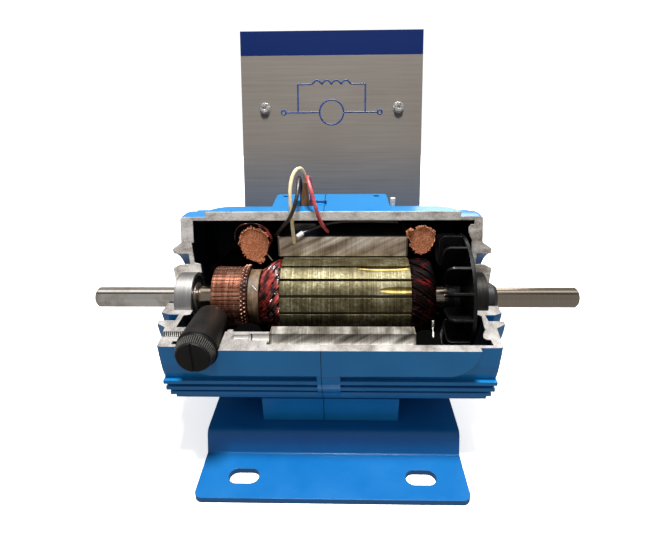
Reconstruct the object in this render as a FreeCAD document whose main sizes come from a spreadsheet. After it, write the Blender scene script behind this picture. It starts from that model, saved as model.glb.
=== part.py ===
import FreeCAD, Part
import Sketcher
import math
import os

# Demonstration direct-current motor, cut open over its upper front quarter.
# Shaft parts are drawn about the X axis and lifted by axis_height; the base is drawn from the ground.
# +X runs along the shaft toward the fan, +Y toward the sign plate, +Z up.

doc = FreeCAD.newDocument("demonstration_motor")
sheet = doc.addObject("Spreadsheet::Sheet", "Sizes")

SIZES = (
    # frame and cutaway
    ("axis_height", 89.0), ("motor_x", -1.6), ("cut_y", 10.85), ("seam_x", -4.4),
    # clearances
    ("hole_gap", 0.15), ("body_gap", 0.3), ("press_gap", 0.02), ("stack_gap", 0.2),
    # shaft
    ("shaft_left", -162.2), ("shaft_right", 167.2), ("shaft_end_r", 7.0), ("seat_r", 7.5),
    ("shaft_mid_r", 8.5), ("shaft_chamfer", 1.2), ("seat_past_outer", 0.7), ("seat_past_inner", 2.1),
    # bearings
    ("bearing_x", 97.5), ("bearing_width", 11.0), ("bearing_r", 17.5), ("outer_land_r", 14.8),
    ("inner_land_r", 10.2), ("ball_pitch_r", 12.5), ("ball_r", 2.97), ("race_gap", 0.04),
    ("ball_count", 7), ("cage_inner_r", 11.8), ("cage_outer_r", 13.2), ("cage_half", 3.7),
    ("pocket_gap", 0.05), ("seal_thick", 0.6), ("seal_depth", 0.3), ("seal_inner_r", 10.5),
    ("preload_thick", 0.4), ("preload_inner_r", 14.2),
    # housing section
    ("shell_hw", 62.1), ("shell_hh", 58.4), ("shell_round", 46.0), ("panel_rise", 3.55),
    ("wall", 2.6), ("cavity_left", -95.2), ("cavity_right", 95.0), ("cavity_draft", 3.0),
    ("end_x", 102.3), ("end_draft", 2.8), ("end_round", 5.0),
    ("panel_left", -84.4), ("panel_right", 87.0), ("panel_half_z", 18.2), ("panel_half_y", 22.0),
    ("panel_corner", 17.5), ("fin_half_x", 99.6), ("fin_thick", 2.5), ("fin_depth", 8.0),
    ("fin_1_low", 33.7), ("fin_1_in", 1.8), ("fin_2_low", 27.4), ("fin_2_in", 4.0),
    ("fin_3_low", 20.1), ("fin_3_in", 8.1), ("fin_4_low", 11.9), ("fin_4_in", 15.2),
    ("belt_left", -7.2), ("belt_right", 6.8),
    ("foot_half_x", 45.2), ("foot_half_y", 43.0), ("foot_bottom", 71.0),
    ("terminal_half_x", 40.0), ("terminal_rear_y", 51.0), ("terminal_front_y", 11.0),
    ("terminal_low_z", 38.0), ("terminal_screw_left", -33.2), ("terminal_screw_right", 32.3),
    ("terminal_screw_y", 46.0), ("terminal_screw_r", 2.1), ("terminal_screw_depth", 9.0),
    ("cable_left", -26.5), ("cable_right", -11.0), ("cable_front", 22.6), ("cable_rear", 36.0),
    ("cable_corner", 2.5), ("pocket_right", -3.0), ("pocket_depth", 2.5),
    # end walls and hubs
    ("hub_face_x", 111.0), ("hub_flat_r", 20.3), ("hub_r", 23.0), ("hub_chamfer_x", 105.5),
    ("hub_past_bearing", 0.9), ("lip_left_r", 8.2), ("lip_right_r", 11.5),
    ("recess_floor_left", 98.5), ("recess_floor_right", 99.5), ("rib_inner_r", 30.2),
    ("rib_tip_x", 109.0), ("rib_tip_r", 33.7), ("rib_root_x", 101.8),
    ("wall_hole_r", 38.0), ("wall_weld_r", 38.6), ("bulge_r", 47.5), ("bulge_x", 91.4),
    # bolt line at the sides of the stack
    ("bolt_inset", 7.65), ("boss_left", -64.7), ("boss_right", -36.3), ("boss_past_bolt", 5.6),
    ("boss_half_z", 8.0), ("bump_past_bolt", 7.8), ("bump_left", -62.3), ("bump_right", -58.9),
    ("bolt_bore_r", 3.65), ("bolt_bore_end", -48.5), ("bolt_tap_end", -57.5),
    ("bolt_cone", 1.8), ("bolt_r", 2.45), ("bolt_head_r", 4.25), ("bolt_head", 5.0),
    ("bolt_socket_r", 2.3), ("bolt_socket_depth", 2.6), ("bolt_washer_r", 5.0),
    ("bolt_washer", 0.8), ("bolt_tip_x", -47.0), ("tap_bore_r", 2.52),
    ("face_tap_y", 45.5), ("face_tap_r", 2.95), ("face_boss_r", 7.5), ("face_boss_x", -87.0),
    # stator stack
    ("stack_left", -35.0), ("stack_right", 51.2), ("stack_flat_z", 40.5), ("bore_r", 28.5), ("slot_inner_r", 33.0),
    ("slot_outer_r", 44.0), ("yoke_face_y", 36.8), ("slot_first", 14.0), ("slot_last", 50.0),
    ("channel_past_bolt", 3.5), ("channel_r", 7.0), ("end_plate", 1.0),
    # field coils
    ("coil_left_x", -53.0), ("coil_left_half", 8.9), ("coil_left_r", 36.6), ("coil_left_high", 12.3),
    ("coil_right_x", 61.15), ("coil_right_half", 8.0), ("coil_right_r", 39.4),
    ("coil_right_high", 9.6), ("coil_left_round", 8.4), ("coil_right_round", 7.6), ("coil_gap", 0.35),
    ("coil_angle_gap", 0.6),
    # rotor
    ("rotor_left", -32.2), ("rotor_right", 51.7), ("rotor_r", 27.7), ("rotor_slots", 16),
    ("rotor_slot_first", 14.8), ("rotor_slot_half", 2.5), ("rotor_slot_root", 16.0), ("rotor_slot_top", 25.9),
    ("rotor_mouth_half", 0.9), ("wire_half", 2.3), ("wire_root", 16.4), ("wire_top", 24.6),
    ("wedge_root", 24.8), ("wedge_top", 25.8), ("wind_neck_left", -47.2), ("wind_neck_r", 16.8),
    ("wind_left", -43.0), ("wind_left_r", 18.5), ("wind_left_high_r", 24.6), ("wind_right", 67.4),
    ("wind_right_r", 22.5), ("wind_right_high_r", 25.4), ("wind_bore_r", 9.0),
    ("balance_depth", 1.5), ("balance_1_x", 34.5), ("balance_1_long", 34.0), ("balance_1_wide", 5.0),
    ("balance_1_turn", 19.0), ("balance_2_x", 44.5), ("balance_2_long", 26.0),
    ("balance_2_wide", 4.2), ("balance_2_turn", 51.5), ("band_left", -54.2), ("band_r", 19.4),
    ("com_left", -78.0), ("com_right", -59.0), ("com_r", 21.2), ("riser_right", -54.6),
    ("riser_r", 21.9), ("com_root_r", 14.0), ("com_hub_r", 13.9), ("com_hub_left", -79.0),
    ("com_bars", 48), ("com_bar_angle", 6.1), ("hub_bore_r", 8.55),
    ("fan_r", 44.0), ("fan_left", 71.7), ("fan_disc_left", 85.7), ("fan_disc_right", 87.9),
    ("fan_blades", 17), ("fan_blade_first", -5.4), ("fan_blade_half", 0.8), ("fan_hub_r", 13.5),
    ("fan_hub_left", 77.6), ("fan_hub_step", 4.0), ("fan_blade_inner", 20.0), ("fan_blade_round", 9.0),
    ("fan_tip_round", 4.0), ("collar_long", 7.8), ("collar_taper", 2.4), ("collar_gap", 0.2),
    ("collar_r", 10.0), ("collar_rim", 0.7),
    # brush gear
    ("brush_x", -75.6), ("brush_half_x", 2.5), ("brush_half_z", 4.0), ("brush_end_y", 41.0),
    ("brush_gap", 0.06), ("sleeve_r", 7.5), ("sleeve_start", 26.5), ("sleeve_in", 1.0),
    ("holder_start", 28.0), ("holder_start_r", 10.0), ("holder_end_r", 12.0),
    ("holder_bore_r", 7.6), ("holder_in", 1.1), ("holder_flange", 3.0), ("flange_r", 12.2),
    ("cap_long", 8.6), ("cap_start_r", 11.6), ("cap_end_r", 9.3), ("cap_stub_r", 4.2),
    ("cap_stub_long", 4.0), ("cap_slot_half", 0.8), ("cap_slot_depth", 2.6), ("spring_r", 2.4),
    ("spring_wire_r", 0.3), ("spring_pitch", 2.4), ("spring_gap", 0.4),
    # base sheet
    ("base_half_x", 82.7), ("base_thick", 4.0), ("bridge_half_y", 52.6), ("web_foot_y", 58.2),
    ("bridge_top", 18.0), ("flange_y", 92.0), ("bend_outer", 5.0), ("bend_inner", 1.2),
    ("base_corner", 5.0), ("slot_x", 55.0), ("slot_y", 76.2), ("slot_r", 5.4),
    ("slot_half_run", 4.1), ("foot_screw_x", 32.0), ("foot_screw_y", 28.0),
    ("foot_screw_r", 3.0), ("foot_screw_head_r", 5.0), ("foot_screw_head", 4.4),
    ("foot_screw_tip", 30.0), ("foot_screw_socket_r", 2.5),
    # sign plate and bracket
    ("sign_x", -2.9), ("sign_half_x", 75.0), ("sign_lean", 18.2), ("sign_foot_y", 88.0),
    ("sign_foot_z", 89.0), ("sign_above", 177.3), ("sign_below", 48.0), ("sign_thick", 2.0),
    ("sign_screw_x", 55.5), ("sign_screw_drop", 61.0), ("sign_screw_r", 2.0),
    ("sign_hole_r", 2.2), ("sign_washer_r", 4.5), ("sign_washer", 0.8), ("sign_head_r", 3.6),
    ("sign_head", 2.2), ("sign_nut_r", 4.0), ("sign_nut", 3.2), ("bracket_thick", 3.0),
    ("bracket_half_x", 68.0), ("bracket_top_drop", 45.3),
    ("bracket_foot_x", 42.0), ("bracket_foot_y", 88.0), ("bracket_notch_z", 24.0),
    ("bracket_screw_x", 28.0), ("bracket_screw_y", 77.0), ("bracket_screw_r", 2.5),
    ("bracket_head_r", 4.6), ("bracket_head", 2.8),
    # leads and small parts
    ("lead_r", 1.25), ("ferrule_r", 1.75), ("ferrule_long", 5.0), ("ferrule_ahead", 1.0),
    ("strip_left", -20.6), ("strip_right", -14.8), ("strip_below_top", 8.4), ("strip_above_top", 16.1),
    ("strip_y", 24.4), ("strip_thick", 1.2), ("side_screw_x", 42.0), ("side_screw_y", 24.0),
    ("side_screw_r", 1.5), ("side_head_r", 1.7), ("side_head", 5.0),
)
for row, (alias, value) in enumerate(SIZES, 1):
    sheet.set("A%d" % row, alias)
    sheet.set("B%d" % row, str(value))
    sheet.setAlias("B%d" % row, alias)
doc.recompute()


class Size:
    """A length from the sheet, carried together with the expression that gives it."""

    def __init__(self, value, text):
        self.value = value
        self.text = text

    def __add__(self, other):
        other = as_size(other)
        return Size(self.value + other.value, "(%s + %s)" % (self.text, other.text))

    def __sub__(self, other):
        other = as_size(other)
        return Size(self.value - other.value, "(%s - %s)" % (self.text, other.text))

    def __rsub__(self, other):
        return as_size(other) - self

    def __mul__(self, other):
        other = as_size(other)
        return Size(self.value * other.value, "(%s * %s)" % (self.text, other.text))

    def __truediv__(self, other):
        other = as_size(other)
        return Size(self.value / other.value, "(%s / %s)" % (self.text, other.text))

    def __neg__(self):
        return self * -1

    __radd__ = __add__
    __rmul__ = __mul__


def as_size(number):
    return number if isinstance(number, Size) else Size(float(number), "(%r)" % float(number))


class Dimensions:
    """Every alias of the sheet as a Size."""

    def __init__(self):
        for name, _ in SIZES:
            setattr(self, name, Size(float(sheet.get(name)), "Sizes." + name))


d = Dimensions()

# Sizes that follow from others, so that what fits together stays together.
d.far = Size(200.0, "200")
d.core_hw = d.shell_hw - d.panel_rise
d.core_hh = d.shell_hh - d.panel_rise
d.core_round = d.shell_round - d.panel_rise
d.cavity_hw = d.core_hw - d.wall
d.cavity_hh = d.core_hh - d.wall
d.cavity_round = d.core_round - d.wall
d.stack_hw = d.cavity_hw - d.stack_gap
d.stack_hh = d.cavity_hh - d.stack_gap
d.stack_round = d.cavity_round - d.stack_gap
d.bolt_y = d.cavity_hw - d.bolt_inset
d.boss_inner_y = d.bolt_y - d.boss_past_bolt
d.boss_bump_y = d.bolt_y - d.bump_past_bolt
d.channel_y = d.bolt_y + d.channel_past_bolt
d.bearing_outer_x = d.bearing_x + d.bearing_width / 2
d.bearing_inner_x = d.bearing_x - d.bearing_width / 2
d.hub_inner_x = d.bearing_inner_x - d.hub_past_bearing
d.seat_outer_x = d.bearing_outer_x + d.seat_past_outer
d.seat_inner_x = d.bearing_inner_x - d.seat_past_inner
d.collar_left = d.seat_outer_x + d.collar_gap
d.collar_right = d.collar_left + d.collar_long
d.collar_flat = d.collar_right - d.collar_taper
d.collar_seat_x = d.collar_right + d.collar_gap
d.flange_end = d.shell_hw - d.holder_in
d.holder_end = d.flange_end - d.holder_flange
d.sleeve_end = d.flange_end - d.sleeve_in
d.cap_end = d.flange_end + d.cap_long
d.cap_stub_y = d.flange_end - d.cap_stub_long
d.spring_start = d.brush_end_y + d.spring_gap
d.spring_high = d.cap_stub_y - d.spring_start - d.spring_gap
d.strip_low = d.shell_hh - d.strip_below_top
d.strip_high = d.shell_hh + d.strip_above_top
d.bracket_above = d.sign_above - d.bracket_top_drop
X_AXIS = FreeCAD.Vector(1, 0, 0)
Y_AXIS = FreeCAD.Vector(0, 1, 0)
Z_AXIS = FreeCAD.Vector(0, 0, 1)
ALONG_X = FreeCAD.Rotation(Y_AXIS, 90)
ALONG_Y = FreeCAD.Rotation(X_AXIS, -90)
UPRIGHT = FreeCAD.Rotation()
finished = []


def bind(obj, prop, size):
    obj.setExpression(prop, as_size(size).text)


def place(obj, x, y, z, rotation=UPRIGHT):
    obj.Placement = FreeCAD.Placement(FreeCAD.Vector(), rotation)
    bind(obj, "Placement.Base.x", x)
    bind(obj, "Placement.Base.y", y)
    bind(obj, "Placement.Base.z", z)
    return obj


def block(name, x0, x1, y0, y1, z0, z1):
    box = doc.addObject("Part::Box", name)
    bind(box, "Length", as_size(x1) - x0)
    bind(box, "Width", as_size(y1) - y0)
    bind(box, "Height", as_size(z1) - z0)
    return place(box, x0, y0, z0)


def rod(name, radius, start, length, rotation, x=0, y=0, z=0):
    """A cylinder along one axis, from start for length; x, y and z give the other two places."""
    bar = doc.addObject("Part::Cylinder", name)
    bind(bar, "Radius", radius)
    bind(bar, "Height", length)
    if rotation is ALONG_X:
        x = start
    elif rotation is ALONG_Y:
        y = start
    else:
        z = start
    return place(bar, x, y, z, rotation)


def cone(name, r0, r1, start, length, rotation, x=0, y=0, z=0):
    part = doc.addObject("Part::Cone", name)
    bind(part, "Radius1", r0)
    bind(part, "Radius2", r1)
    bind(part, "Height", length)
    if rotation is ALONG_Y:
        y = start
    else:
        x = start
    return place(part, x, y, z, rotation)


def sector(name, radius, x0, x1, first, sweep):
    """A slice of a cylinder about the X axis; angles run from +Y toward +Z."""
    part = rod(name, radius, x0, as_size(x1) - x0, ALONG_X)
    bind(part, "Angle", sweep)
    turn = FreeCAD.Rotation(X_AXIS, as_size(first).value + 90)
    part.Placement = FreeCAD.Placement(FreeCAD.Vector(), turn.multiply(ALONG_X))
    return part


def cut(name, base, tool):
    part = doc.addObject("Part::Cut", name)
    part.Base = base
    part.Tool = tool
    return part


def fuse(name, *shapes):
    part = doc.addObject("Part::MultiFuse", name)
    part.Shapes = list(shapes)
    return part


def common(name, *shapes):
    part = doc.addObject("Part::MultiCommon", name)
    part.Shapes = list(shapes)
    return part


def compound(name, *shapes):
    part = doc.addObject("Part::Compound", name)
    part.Links = list(shapes)
    return part


def outline(body, plane, corners, name):
    """A closed outline of straight sides; a third number in a corner rounds it."""
    sketch = body.newObject("Sketcher::SketchObject", name)
    origin = [item for item in body.Origin.OriginFeatures if item.Role == plane][0]
    sketch.AttachmentSupport = [(origin, "")]
    sketch.MapMode = "FlatFace"
    corners = [tuple(as_size(value) for value in corner) for corner in corners]
    points = [FreeCAD.Vector(corner[0].value, corner[1].value, 0) for corner in corners]
    count = len(points)
    starts, ends, arcs = [], [], []
    for i in range(count):
        before = (points[i - 1] - points[i]).normalize()
        after = (points[(i + 1) % count] - points[i]).normalize()
        if len(corners[i]) < 3:
            starts.append(points[i])
            ends.append(points[i])
            arcs.append(None)
            continue
        radius = corners[i][2].value
        half = before.getAngle(after) / 2.0
        run = radius / math.tan(half)
        inward = (before + after).normalize()
        centre = points[i] + inward * (radius / math.sin(half))
        ends.append(points[i] + before * run)
        starts.append(points[i] + after * run)
        arcs.append(Part.Arc(ends[i], centre - inward * radius, starts[i]))
    lines = []
    for i in range(count):
        line = Part.LineSegment(starts[i], ends[(i + 1) % count])
        lines.append(sketch.addGeometry(line, False))
    for i in range(count):
        if arcs[i] is None:
            sketch.addConstraint(Sketcher.Constraint("Coincident", lines[i - 1], 2, lines[i], 1))
            held = (lines[i], 1)
        else:
            arc = sketch.addGeometry(arcs[i], False)
            spot = sketch.addGeometry(Part.Point(points[i]), True)
            first = 1 if sketch.getPoint(arc, 1).distanceToPoint(ends[i]) < 1e-6 else 2
            meet = Sketcher.Constraint("Tangent", lines[i - 1], 2, arc, first)
            leave = Sketcher.Constraint("Tangent", lines[i], 1, arc, 3 - first)
            sketch.addConstraint([meet, leave])
            radius_rule = sketch.addConstraint(Sketcher.Constraint("Radius", arc, corners[i][2].value))
            bind(sketch, "Constraints[%d]" % radius_rule, corners[i][2])
            sketch.addConstraint(Sketcher.Constraint("PointOnObject", spot, 1, lines[i - 1]))
            sketch.addConstraint(Sketcher.Constraint("PointOnObject", spot, 1, lines[i]))
            held = (spot, 1)
        for kind, value, axis in (("DistanceX", corners[i][0], -2), ("DistanceY", corners[i][1], -1)):
            if value.value == 0:
                sketch.addConstraint(Sketcher.Constraint("PointOnObject", held[0], held[1], axis))
            else:
                rule = Sketcher.Constraint(kind, -1, 1, held[0], held[1], value.value)
                bind(sketch, "Constraints[%d]" % sketch.addConstraint(rule), value)
    return sketch


def turned(name, corners, angle=360):
    """A body turned about the X axis from an outline in (x, radius)."""
    body = doc.addObject("PartDesign::Body", name)
    sketch = outline(body, "XZ_Plane", corners, name + "_outline")
    revolution = body.newObject("PartDesign::Revolution", name + "_turn")
    revolution.Profile = sketch
    revolution.ReferenceAxis = (sketch, ["H_Axis"])
    revolution.Angle = angle
    return body


def extruded(name, plane, corners, start, length):
    """A body pushed from start along the plane's axis (+X, +Y or +Z)."""
    body = doc.addObject("PartDesign::Body", name)
    sketch = outline(body, plane, corners, name + "_outline")
    sign = -1 if plane == "XZ_Plane" else 1
    bind(sketch, "AttachmentOffset.Base.z", as_size(start) * sign)
    pad = body.newObject("PartDesign::Pad", name + "_pad")
    pad.Profile = sketch
    pad.Reversed = plane == "XZ_Plane"
    bind(pad, "Length", length)
    return body


def rounded_section(half_y, half_z, radius):
    corners = ((-half_y, -half_z), (half_y, -half_z), (half_y, half_z), (-half_y, half_z))
    return [corner + (radius,) for corner in corners]


def keep(node, obj, motor=True, x=0):
    """Marks a finished sub-part under its node name, and sets what belongs to the motor on its axis."""
    obj.Label = node
    if motor:
        bind(obj, "Placement.Base.x", d.motor_x + x)
        bind(obj, "Placement.Base.z", d.axis_height)
    finished.append((node, obj))
    return obj


# Cutaway: everything in front of cut_y and above the axis is taken away.
def cutaway(name):
    return block(name, -d.far, d.far, -d.far, d.cut_y, 0, d.far)


# Base plate: one sheet bent to a bridge with a flange at each side, four slots, four screw holes.
t = d.base_thick
profile = (
    (-d.flange_y, 0), (-d.web_foot_y + t * 0.75, 0, d.bend_outer),
    (-d.bridge_half_y + t * 0.75, d.bridge_top - t, d.bend_inner),
    (d.bridge_half_y - t * 0.75, d.bridge_top - t, d.bend_inner),
    (d.web_foot_y - t * 0.75, 0, d.bend_outer), (d.flange_y, 0), (d.flange_y, t),
    (d.web_foot_y, t, d.bend_inner), (d.bridge_half_y, d.bridge_top, d.bend_outer),
    (-d.bridge_half_y, d.bridge_top, d.bend_outer), (-d.web_foot_y, t, d.bend_inner),
    (-d.flange_y, t),
)
base_body = extruded("base_sheet", "YZ_Plane", profile, -d.base_half_x, d.base_half_x * 2)
doc.recompute()
edges = []
for number, edge in enumerate(base_body.Shape.Edges, 1):
    box = edge.BoundBox
    if box.XLength + box.YLength < 0.01 and abs(abs(box.YMin) - d.flange_y.value) < 0.01:
        edges.append("Edge%d" % number)
sheet_pad = base_body.Tip
corner = base_body.newObject("PartDesign::Fillet", "base_corners")
corner.Base = (sheet_pad, edges)
bind(corner, "Radius", d.base_corner)
base_tools = []
for i, (sx, sy) in enumerate(((-1, -1), (1, -1), (-1, 1), (1, 1))):
    middle = block("slot_middle_%d" % i, d.slot_x * sx - d.slot_half_run,
                   d.slot_x * sx + d.slot_half_run, d.slot_y * sy - d.slot_r,
                   d.slot_y * sy + d.slot_r, -t, t * 2)
    base_tools.append(middle)
    for side in (-1, 1):
        base_tools.append(rod("slot_end_%d_%d" % (i, side), d.slot_r, -t, t * 3, UPRIGHT,
                              x=d.slot_x * sx + d.slot_half_run * side, y=d.slot_y * sy))
    base_tools.append(rod("foot_hole_%d" % i, d.foot_screw_r + d.hole_gap, d.bridge_top - t * 2,
                          t * 3, UPRIGHT, x=d.foot_screw_x * sx, y=d.foot_screw_y * sy))
for side in (-1, 1):
    base_tools.append(rod("bracket_tap_%d" % side, d.bracket_screw_r + d.press_gap, -t, t * 3, UPRIGHT,
                          x=d.bracket_screw_x * side, y=d.bracket_screw_y))
keep("base_plate", cut("base_cut", base_body, fuse("base_tools", *base_tools)), motor=False)

screws = []
for i, (sx, sy) in enumerate(((-1, -1), (1, -1), (-1, 1), (1, 1))):
    x, y = d.foot_screw_x * sx, d.foot_screw_y * sy
    under = d.bridge_top - t
    head = rod("foot_head_%d" % i, d.foot_screw_head_r, under - d.foot_screw_head,
               d.foot_screw_head, UPRIGHT, x=x, y=y)
    shank = rod("foot_shank_%d" % i, d.foot_screw_r, under, d.foot_screw_tip - under, UPRIGHT, x=x, y=y)
    socket = rod("foot_socket_%d" % i, d.foot_screw_socket_r, under - d.foot_screw_head - 1,
                 d.foot_screw_head * 0.6 + 1, UPRIGHT, x=x, y=y)
    screws.append(cut("foot_screw_%d" % i, fuse("foot_solid_%d" % i, head, shank), socket))
keep("base_screws", compound("base_screw_set", *screws), motor=False)


# Housing: a ribbed box section with crowned ends, hubs for the bearings, split at the seam.
section = extruded("core_section", "YZ_Plane", rounded_section(d.core_hw, d.core_hh, d.core_round),
                   -d.end_x, d.end_x * 2)
doc.recompute()
rims = []
for number, edge in enumerate(section.Shape.Edges, 1):
    box = edge.BoundBox
    if box.XLength < 0.01 and abs(abs(box.XMin) - d.end_x.value) < 0.01:
        rims.append("Edge%d" % number)
section_pad = section.Tip
rim = section.newObject("PartDesign::Fillet", "core_rims")
rim.Base = (section_pad, rims)
bind(rim, "Radius", d.end_round)
dome_profile = (
    (-d.end_x, 0), (-d.end_x, d.wall_weld_r), (d.end_draft - d.end_x, d.shell_hw),
    (d.end_draft * 2 - d.end_x, d.shell_hw + d.shell_hh), (d.end_x - d.end_draft * 2, d.shell_hw + d.shell_hh),
    (d.end_x - d.end_draft, d.shell_hw), (d.end_x, d.wall_weld_r), (d.end_x, 0),
)
casting = common("casting_core", section, turned("end_dome", dome_profile))

added = [casting]
for side, name in ((-1, "front"), (1, "rear")):
    corners = [(x, z, d.panel_corner) for x, z in (
        (d.panel_left, -d.panel_half_z), (d.panel_right, -d.panel_half_z),
        (d.panel_right, d.panel_half_z), (d.panel_left, d.panel_half_z))]
    start = d.core_hw - 3 if side > 0 else -d.shell_hw
    added.append(extruded("panel_" + name, "XZ_Plane", corners, start, d.shell_hw - d.core_hw + 3))
for side, name in ((-1, "under"), (1, "top")):
    corners = [(x, y, d.panel_corner) for x, y in (
        (d.panel_left, -d.panel_half_y), (d.panel_right, -d.panel_half_y),
        (d.panel_right, d.panel_half_y), (d.panel_left, d.panel_half_y))]
    start = d.core_hh - 2 if side > 0 else -d.shell_hh
    added.append(extruded("panel_" + name, "XY_Plane", corners, start, d.shell_hh - d.core_hh + 2))
fins = ((d.fin_1_low, d.fin_1_in), (d.fin_2_low, d.fin_2_in), (d.fin_3_low, d.fin_3_in),
        (d.fin_4_low, d.fin_4_in))
for index, (drop, inset) in enumerate(fins, 1):
    height = d.shell_hh - drop
    tip = d.shell_hw - inset
    for sy in (-1, 1):
        for sz in (-1, 1):
            y0, y1 = (tip - d.fin_depth, tip) if sy > 0 else (-tip, -tip + d.fin_depth)
            middle = height * sz
            added.append(block("fin_%d_%d_%d" % (index, sy + 1, sz + 1), -d.fin_half_x, d.fin_half_x,
                               y0, y1, middle - d.fin_thick / 2, middle + d.fin_thick / 2))
belt = rounded_section(d.shell_hw, d.shell_hh, d.shell_round)
added.append(extruded("belt", "YZ_Plane", belt, d.belt_left, d.belt_right - d.belt_left))
added.append(block("foot", -d.foot_half_x, d.foot_half_x, -d.foot_half_y, d.foot_half_y,
                   -d.foot_bottom, -d.cavity_hh))
terminal = ((-d.terminal_half_x, d.terminal_front_y), (d.terminal_half_x, d.terminal_front_y),
            (d.terminal_half_x, d.terminal_rear_y, 3), (-d.terminal_half_x, d.terminal_rear_y, 3))
added.append(extruded("terminal_pad", "XY_Plane", terminal, d.terminal_low_z,
                      d.shell_hh - d.terminal_low_z))
outside = fuse("housing_outside", *added)

cavity_box = extruded("cavity_box", "YZ_Plane", rounded_section(d.cavity_hw, d.cavity_hh, d.cavity_round),
                      d.cavity_left, d.cavity_right - d.cavity_left)
drafted = ((d.cavity_left, 0), (d.cavity_left, d.hub_r), (d.cavity_left + d.cavity_draft, d.cavity_hh),
           (d.cavity_left + d.cavity_draft, d.far), (d.cavity_right, d.far), (d.cavity_right, 0))
cavity = common("cavity", cavity_box, turned("cavity_draft", drafted))
wall_hole = rod("wall_hole", d.wall_hole_r, -d.far, d.far * 2, ALONG_X)
hollow = cut("housing_hollow", outside, fuse("housing_room", cavity, wall_hole))

left_hub = (
    (-d.hub_inner_x, d.bearing_r), (-d.hub_inner_x, d.hub_r), (d.cavity_left, d.hub_r + 1, 1),
    (d.cavity_left, d.wall_weld_r), (-d.rib_root_x, d.wall_weld_r), (-d.rib_tip_x, d.rib_tip_r, 0.8),
    (-d.rib_tip_x, d.rib_inner_r), (-d.recess_floor_left, d.rib_inner_r),
    (-d.recess_floor_left, d.hub_r), (-d.hub_chamfer_x, d.hub_r), (-d.hub_face_x, d.hub_flat_r),
    (-d.hub_face_x, d.lip_left_r), (-d.bearing_outer_x - d.preload_thick - 0.3, d.lip_left_r),
    (-d.bearing_outer_x - d.preload_thick - 0.3, d.bearing_r),
)
right_hub = (
    (d.hub_inner_x + 1, d.bearing_r), (d.hub_inner_x + 1, d.hub_r - 2), (d.cavity_right + 1.8, d.hub_r + 1, 1),
    (d.cavity_right, d.wall_weld_r - 2), (d.cavity_right - 0.2, d.wall_weld_r),
    (d.rib_root_x, d.wall_weld_r), (d.rib_tip_x, d.rib_tip_r, 0.8),
    (d.rib_tip_x, d.rib_inner_r), (d.recess_floor_right, d.rib_inner_r),
    (d.recess_floor_right, d.hub_r), (d.hub_chamfer_x, d.hub_r), (d.hub_face_x, d.hub_flat_r),
    (d.hub_face_x, d.lip_right_r), (d.bearing_outer_x, d.lip_right_r), (d.bearing_outer_x, d.bearing_r),
)
bulge = ((d.cavity_right + 1, d.wall_weld_r + 1), (d.cavity_right - 0.2, d.wall_weld_r + 1),
         (d.bulge_x + 0.6, d.fan_r + 1, 1), (d.bulge_x, d.bulge_r + 1, 1), (d.bulge_x + 1.5, d.bulge_r + 3),
         (d.cavity_right + 1, d.bulge_r + 3))
inside = [turned("left_hub", left_hub), turned("right_hub", right_hub), turned("wall_bulge", bulge)]
for side, name in ((-1, "front"), (1, "rear")):
    wall = d.cavity_hw + 1
    low, high = (-wall, -d.boss_inner_y) if side < 0 else (d.boss_inner_y, wall)
    inside.append(block("bolt_boss_" + name, d.boss_left, d.boss_right, low, high,
                        -d.boss_half_z, d.boss_half_z))
    low, high = (-wall, -d.boss_bump_y) if side < 0 else (d.boss_bump_y, wall)
    inside.append(block("boss_bump_" + name, d.bump_left, d.bump_right, low, high,
                        -d.boss_half_z + 1.5, d.boss_half_z - 1.5))
    inside.append(rod("face_boss_" + name, d.face_boss_r, d.cavity_left - 1,
                      d.face_boss_x - d.cavity_left + 1, ALONG_X, y=d.face_tap_y * side))
blank = fuse("housing_blank", hollow, *inside)

bores = []
for side, name in ((-1, "front"), (1, "rear")):
    y = d.bolt_y * side
    bores.append(rod("bolt_bore_" + name, d.bolt_bore_r, d.bolt_bore_end,
                     d.stack_left - d.bolt_bore_end, ALONG_X, y=y))
    bores.append(rod("bolt_tap_" + name, d.tap_bore_r, d.bolt_tap_end,
                     d.bolt_bore_end - d.bolt_tap_end + 1, ALONG_X, y=y))
    bores.append(cone("bolt_tap_end_" + name, 0, d.tap_bore_r, d.bolt_tap_end - d.bolt_cone,
                      d.bolt_cone, ALONG_X, y=y))
    bores.append(rod("face_tap_" + name, d.face_tap_r, -d.end_x - 3,
                     d.end_x + 3 + d.face_boss_x + 1, ALONG_X, y=d.face_tap_y * side))
    bores.append(rod("brush_port_" + name, d.holder_end_r + d.body_gap + 0.2,
                     d.holder_end * side if side > 0 else -d.shell_hw - 1, 6, ALONG_Y, x=d.brush_x))
    start = d.boss_bump_y - 1 if side > 0 else -d.shell_hw - 1
    bores.append(rod("brush_bore_" + name, d.holder_end_r + d.hole_gap, start,
                     d.shell_hw - d.boss_bump_y + 2, ALONG_Y, x=d.brush_x))
for name, x in (("left", d.terminal_screw_left), ("right", d.terminal_screw_right)):
    bores.append(rod("terminal_hole_" + name, d.terminal_screw_r, d.shell_hh - d.terminal_screw_depth,
                     d.terminal_screw_depth + 1, UPRIGHT, x=x, y=d.terminal_screw_y))
cable = [(x, y, d.cable_corner) for x, y in (
    (d.cable_left, d.cable_front), (d.cable_right, d.cable_front),
    (d.cable_right, d.cable_rear), (d.cable_left, d.cable_rear))]
bores.append(extruded("cable_hole", "XY_Plane", cable, d.terminal_low_z, d.shell_hh))
pocket = [(x, y, d.cable_corner) for x, y in (
    (d.cable_left, d.cable_front), (d.pocket_right, d.cable_front),
    (d.pocket_right, d.cable_rear), (d.cable_left, d.cable_rear))]
bores.append(extruded("cable_pocket", "XY_Plane", pocket, d.shell_hh - d.pocket_depth, 10))
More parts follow.
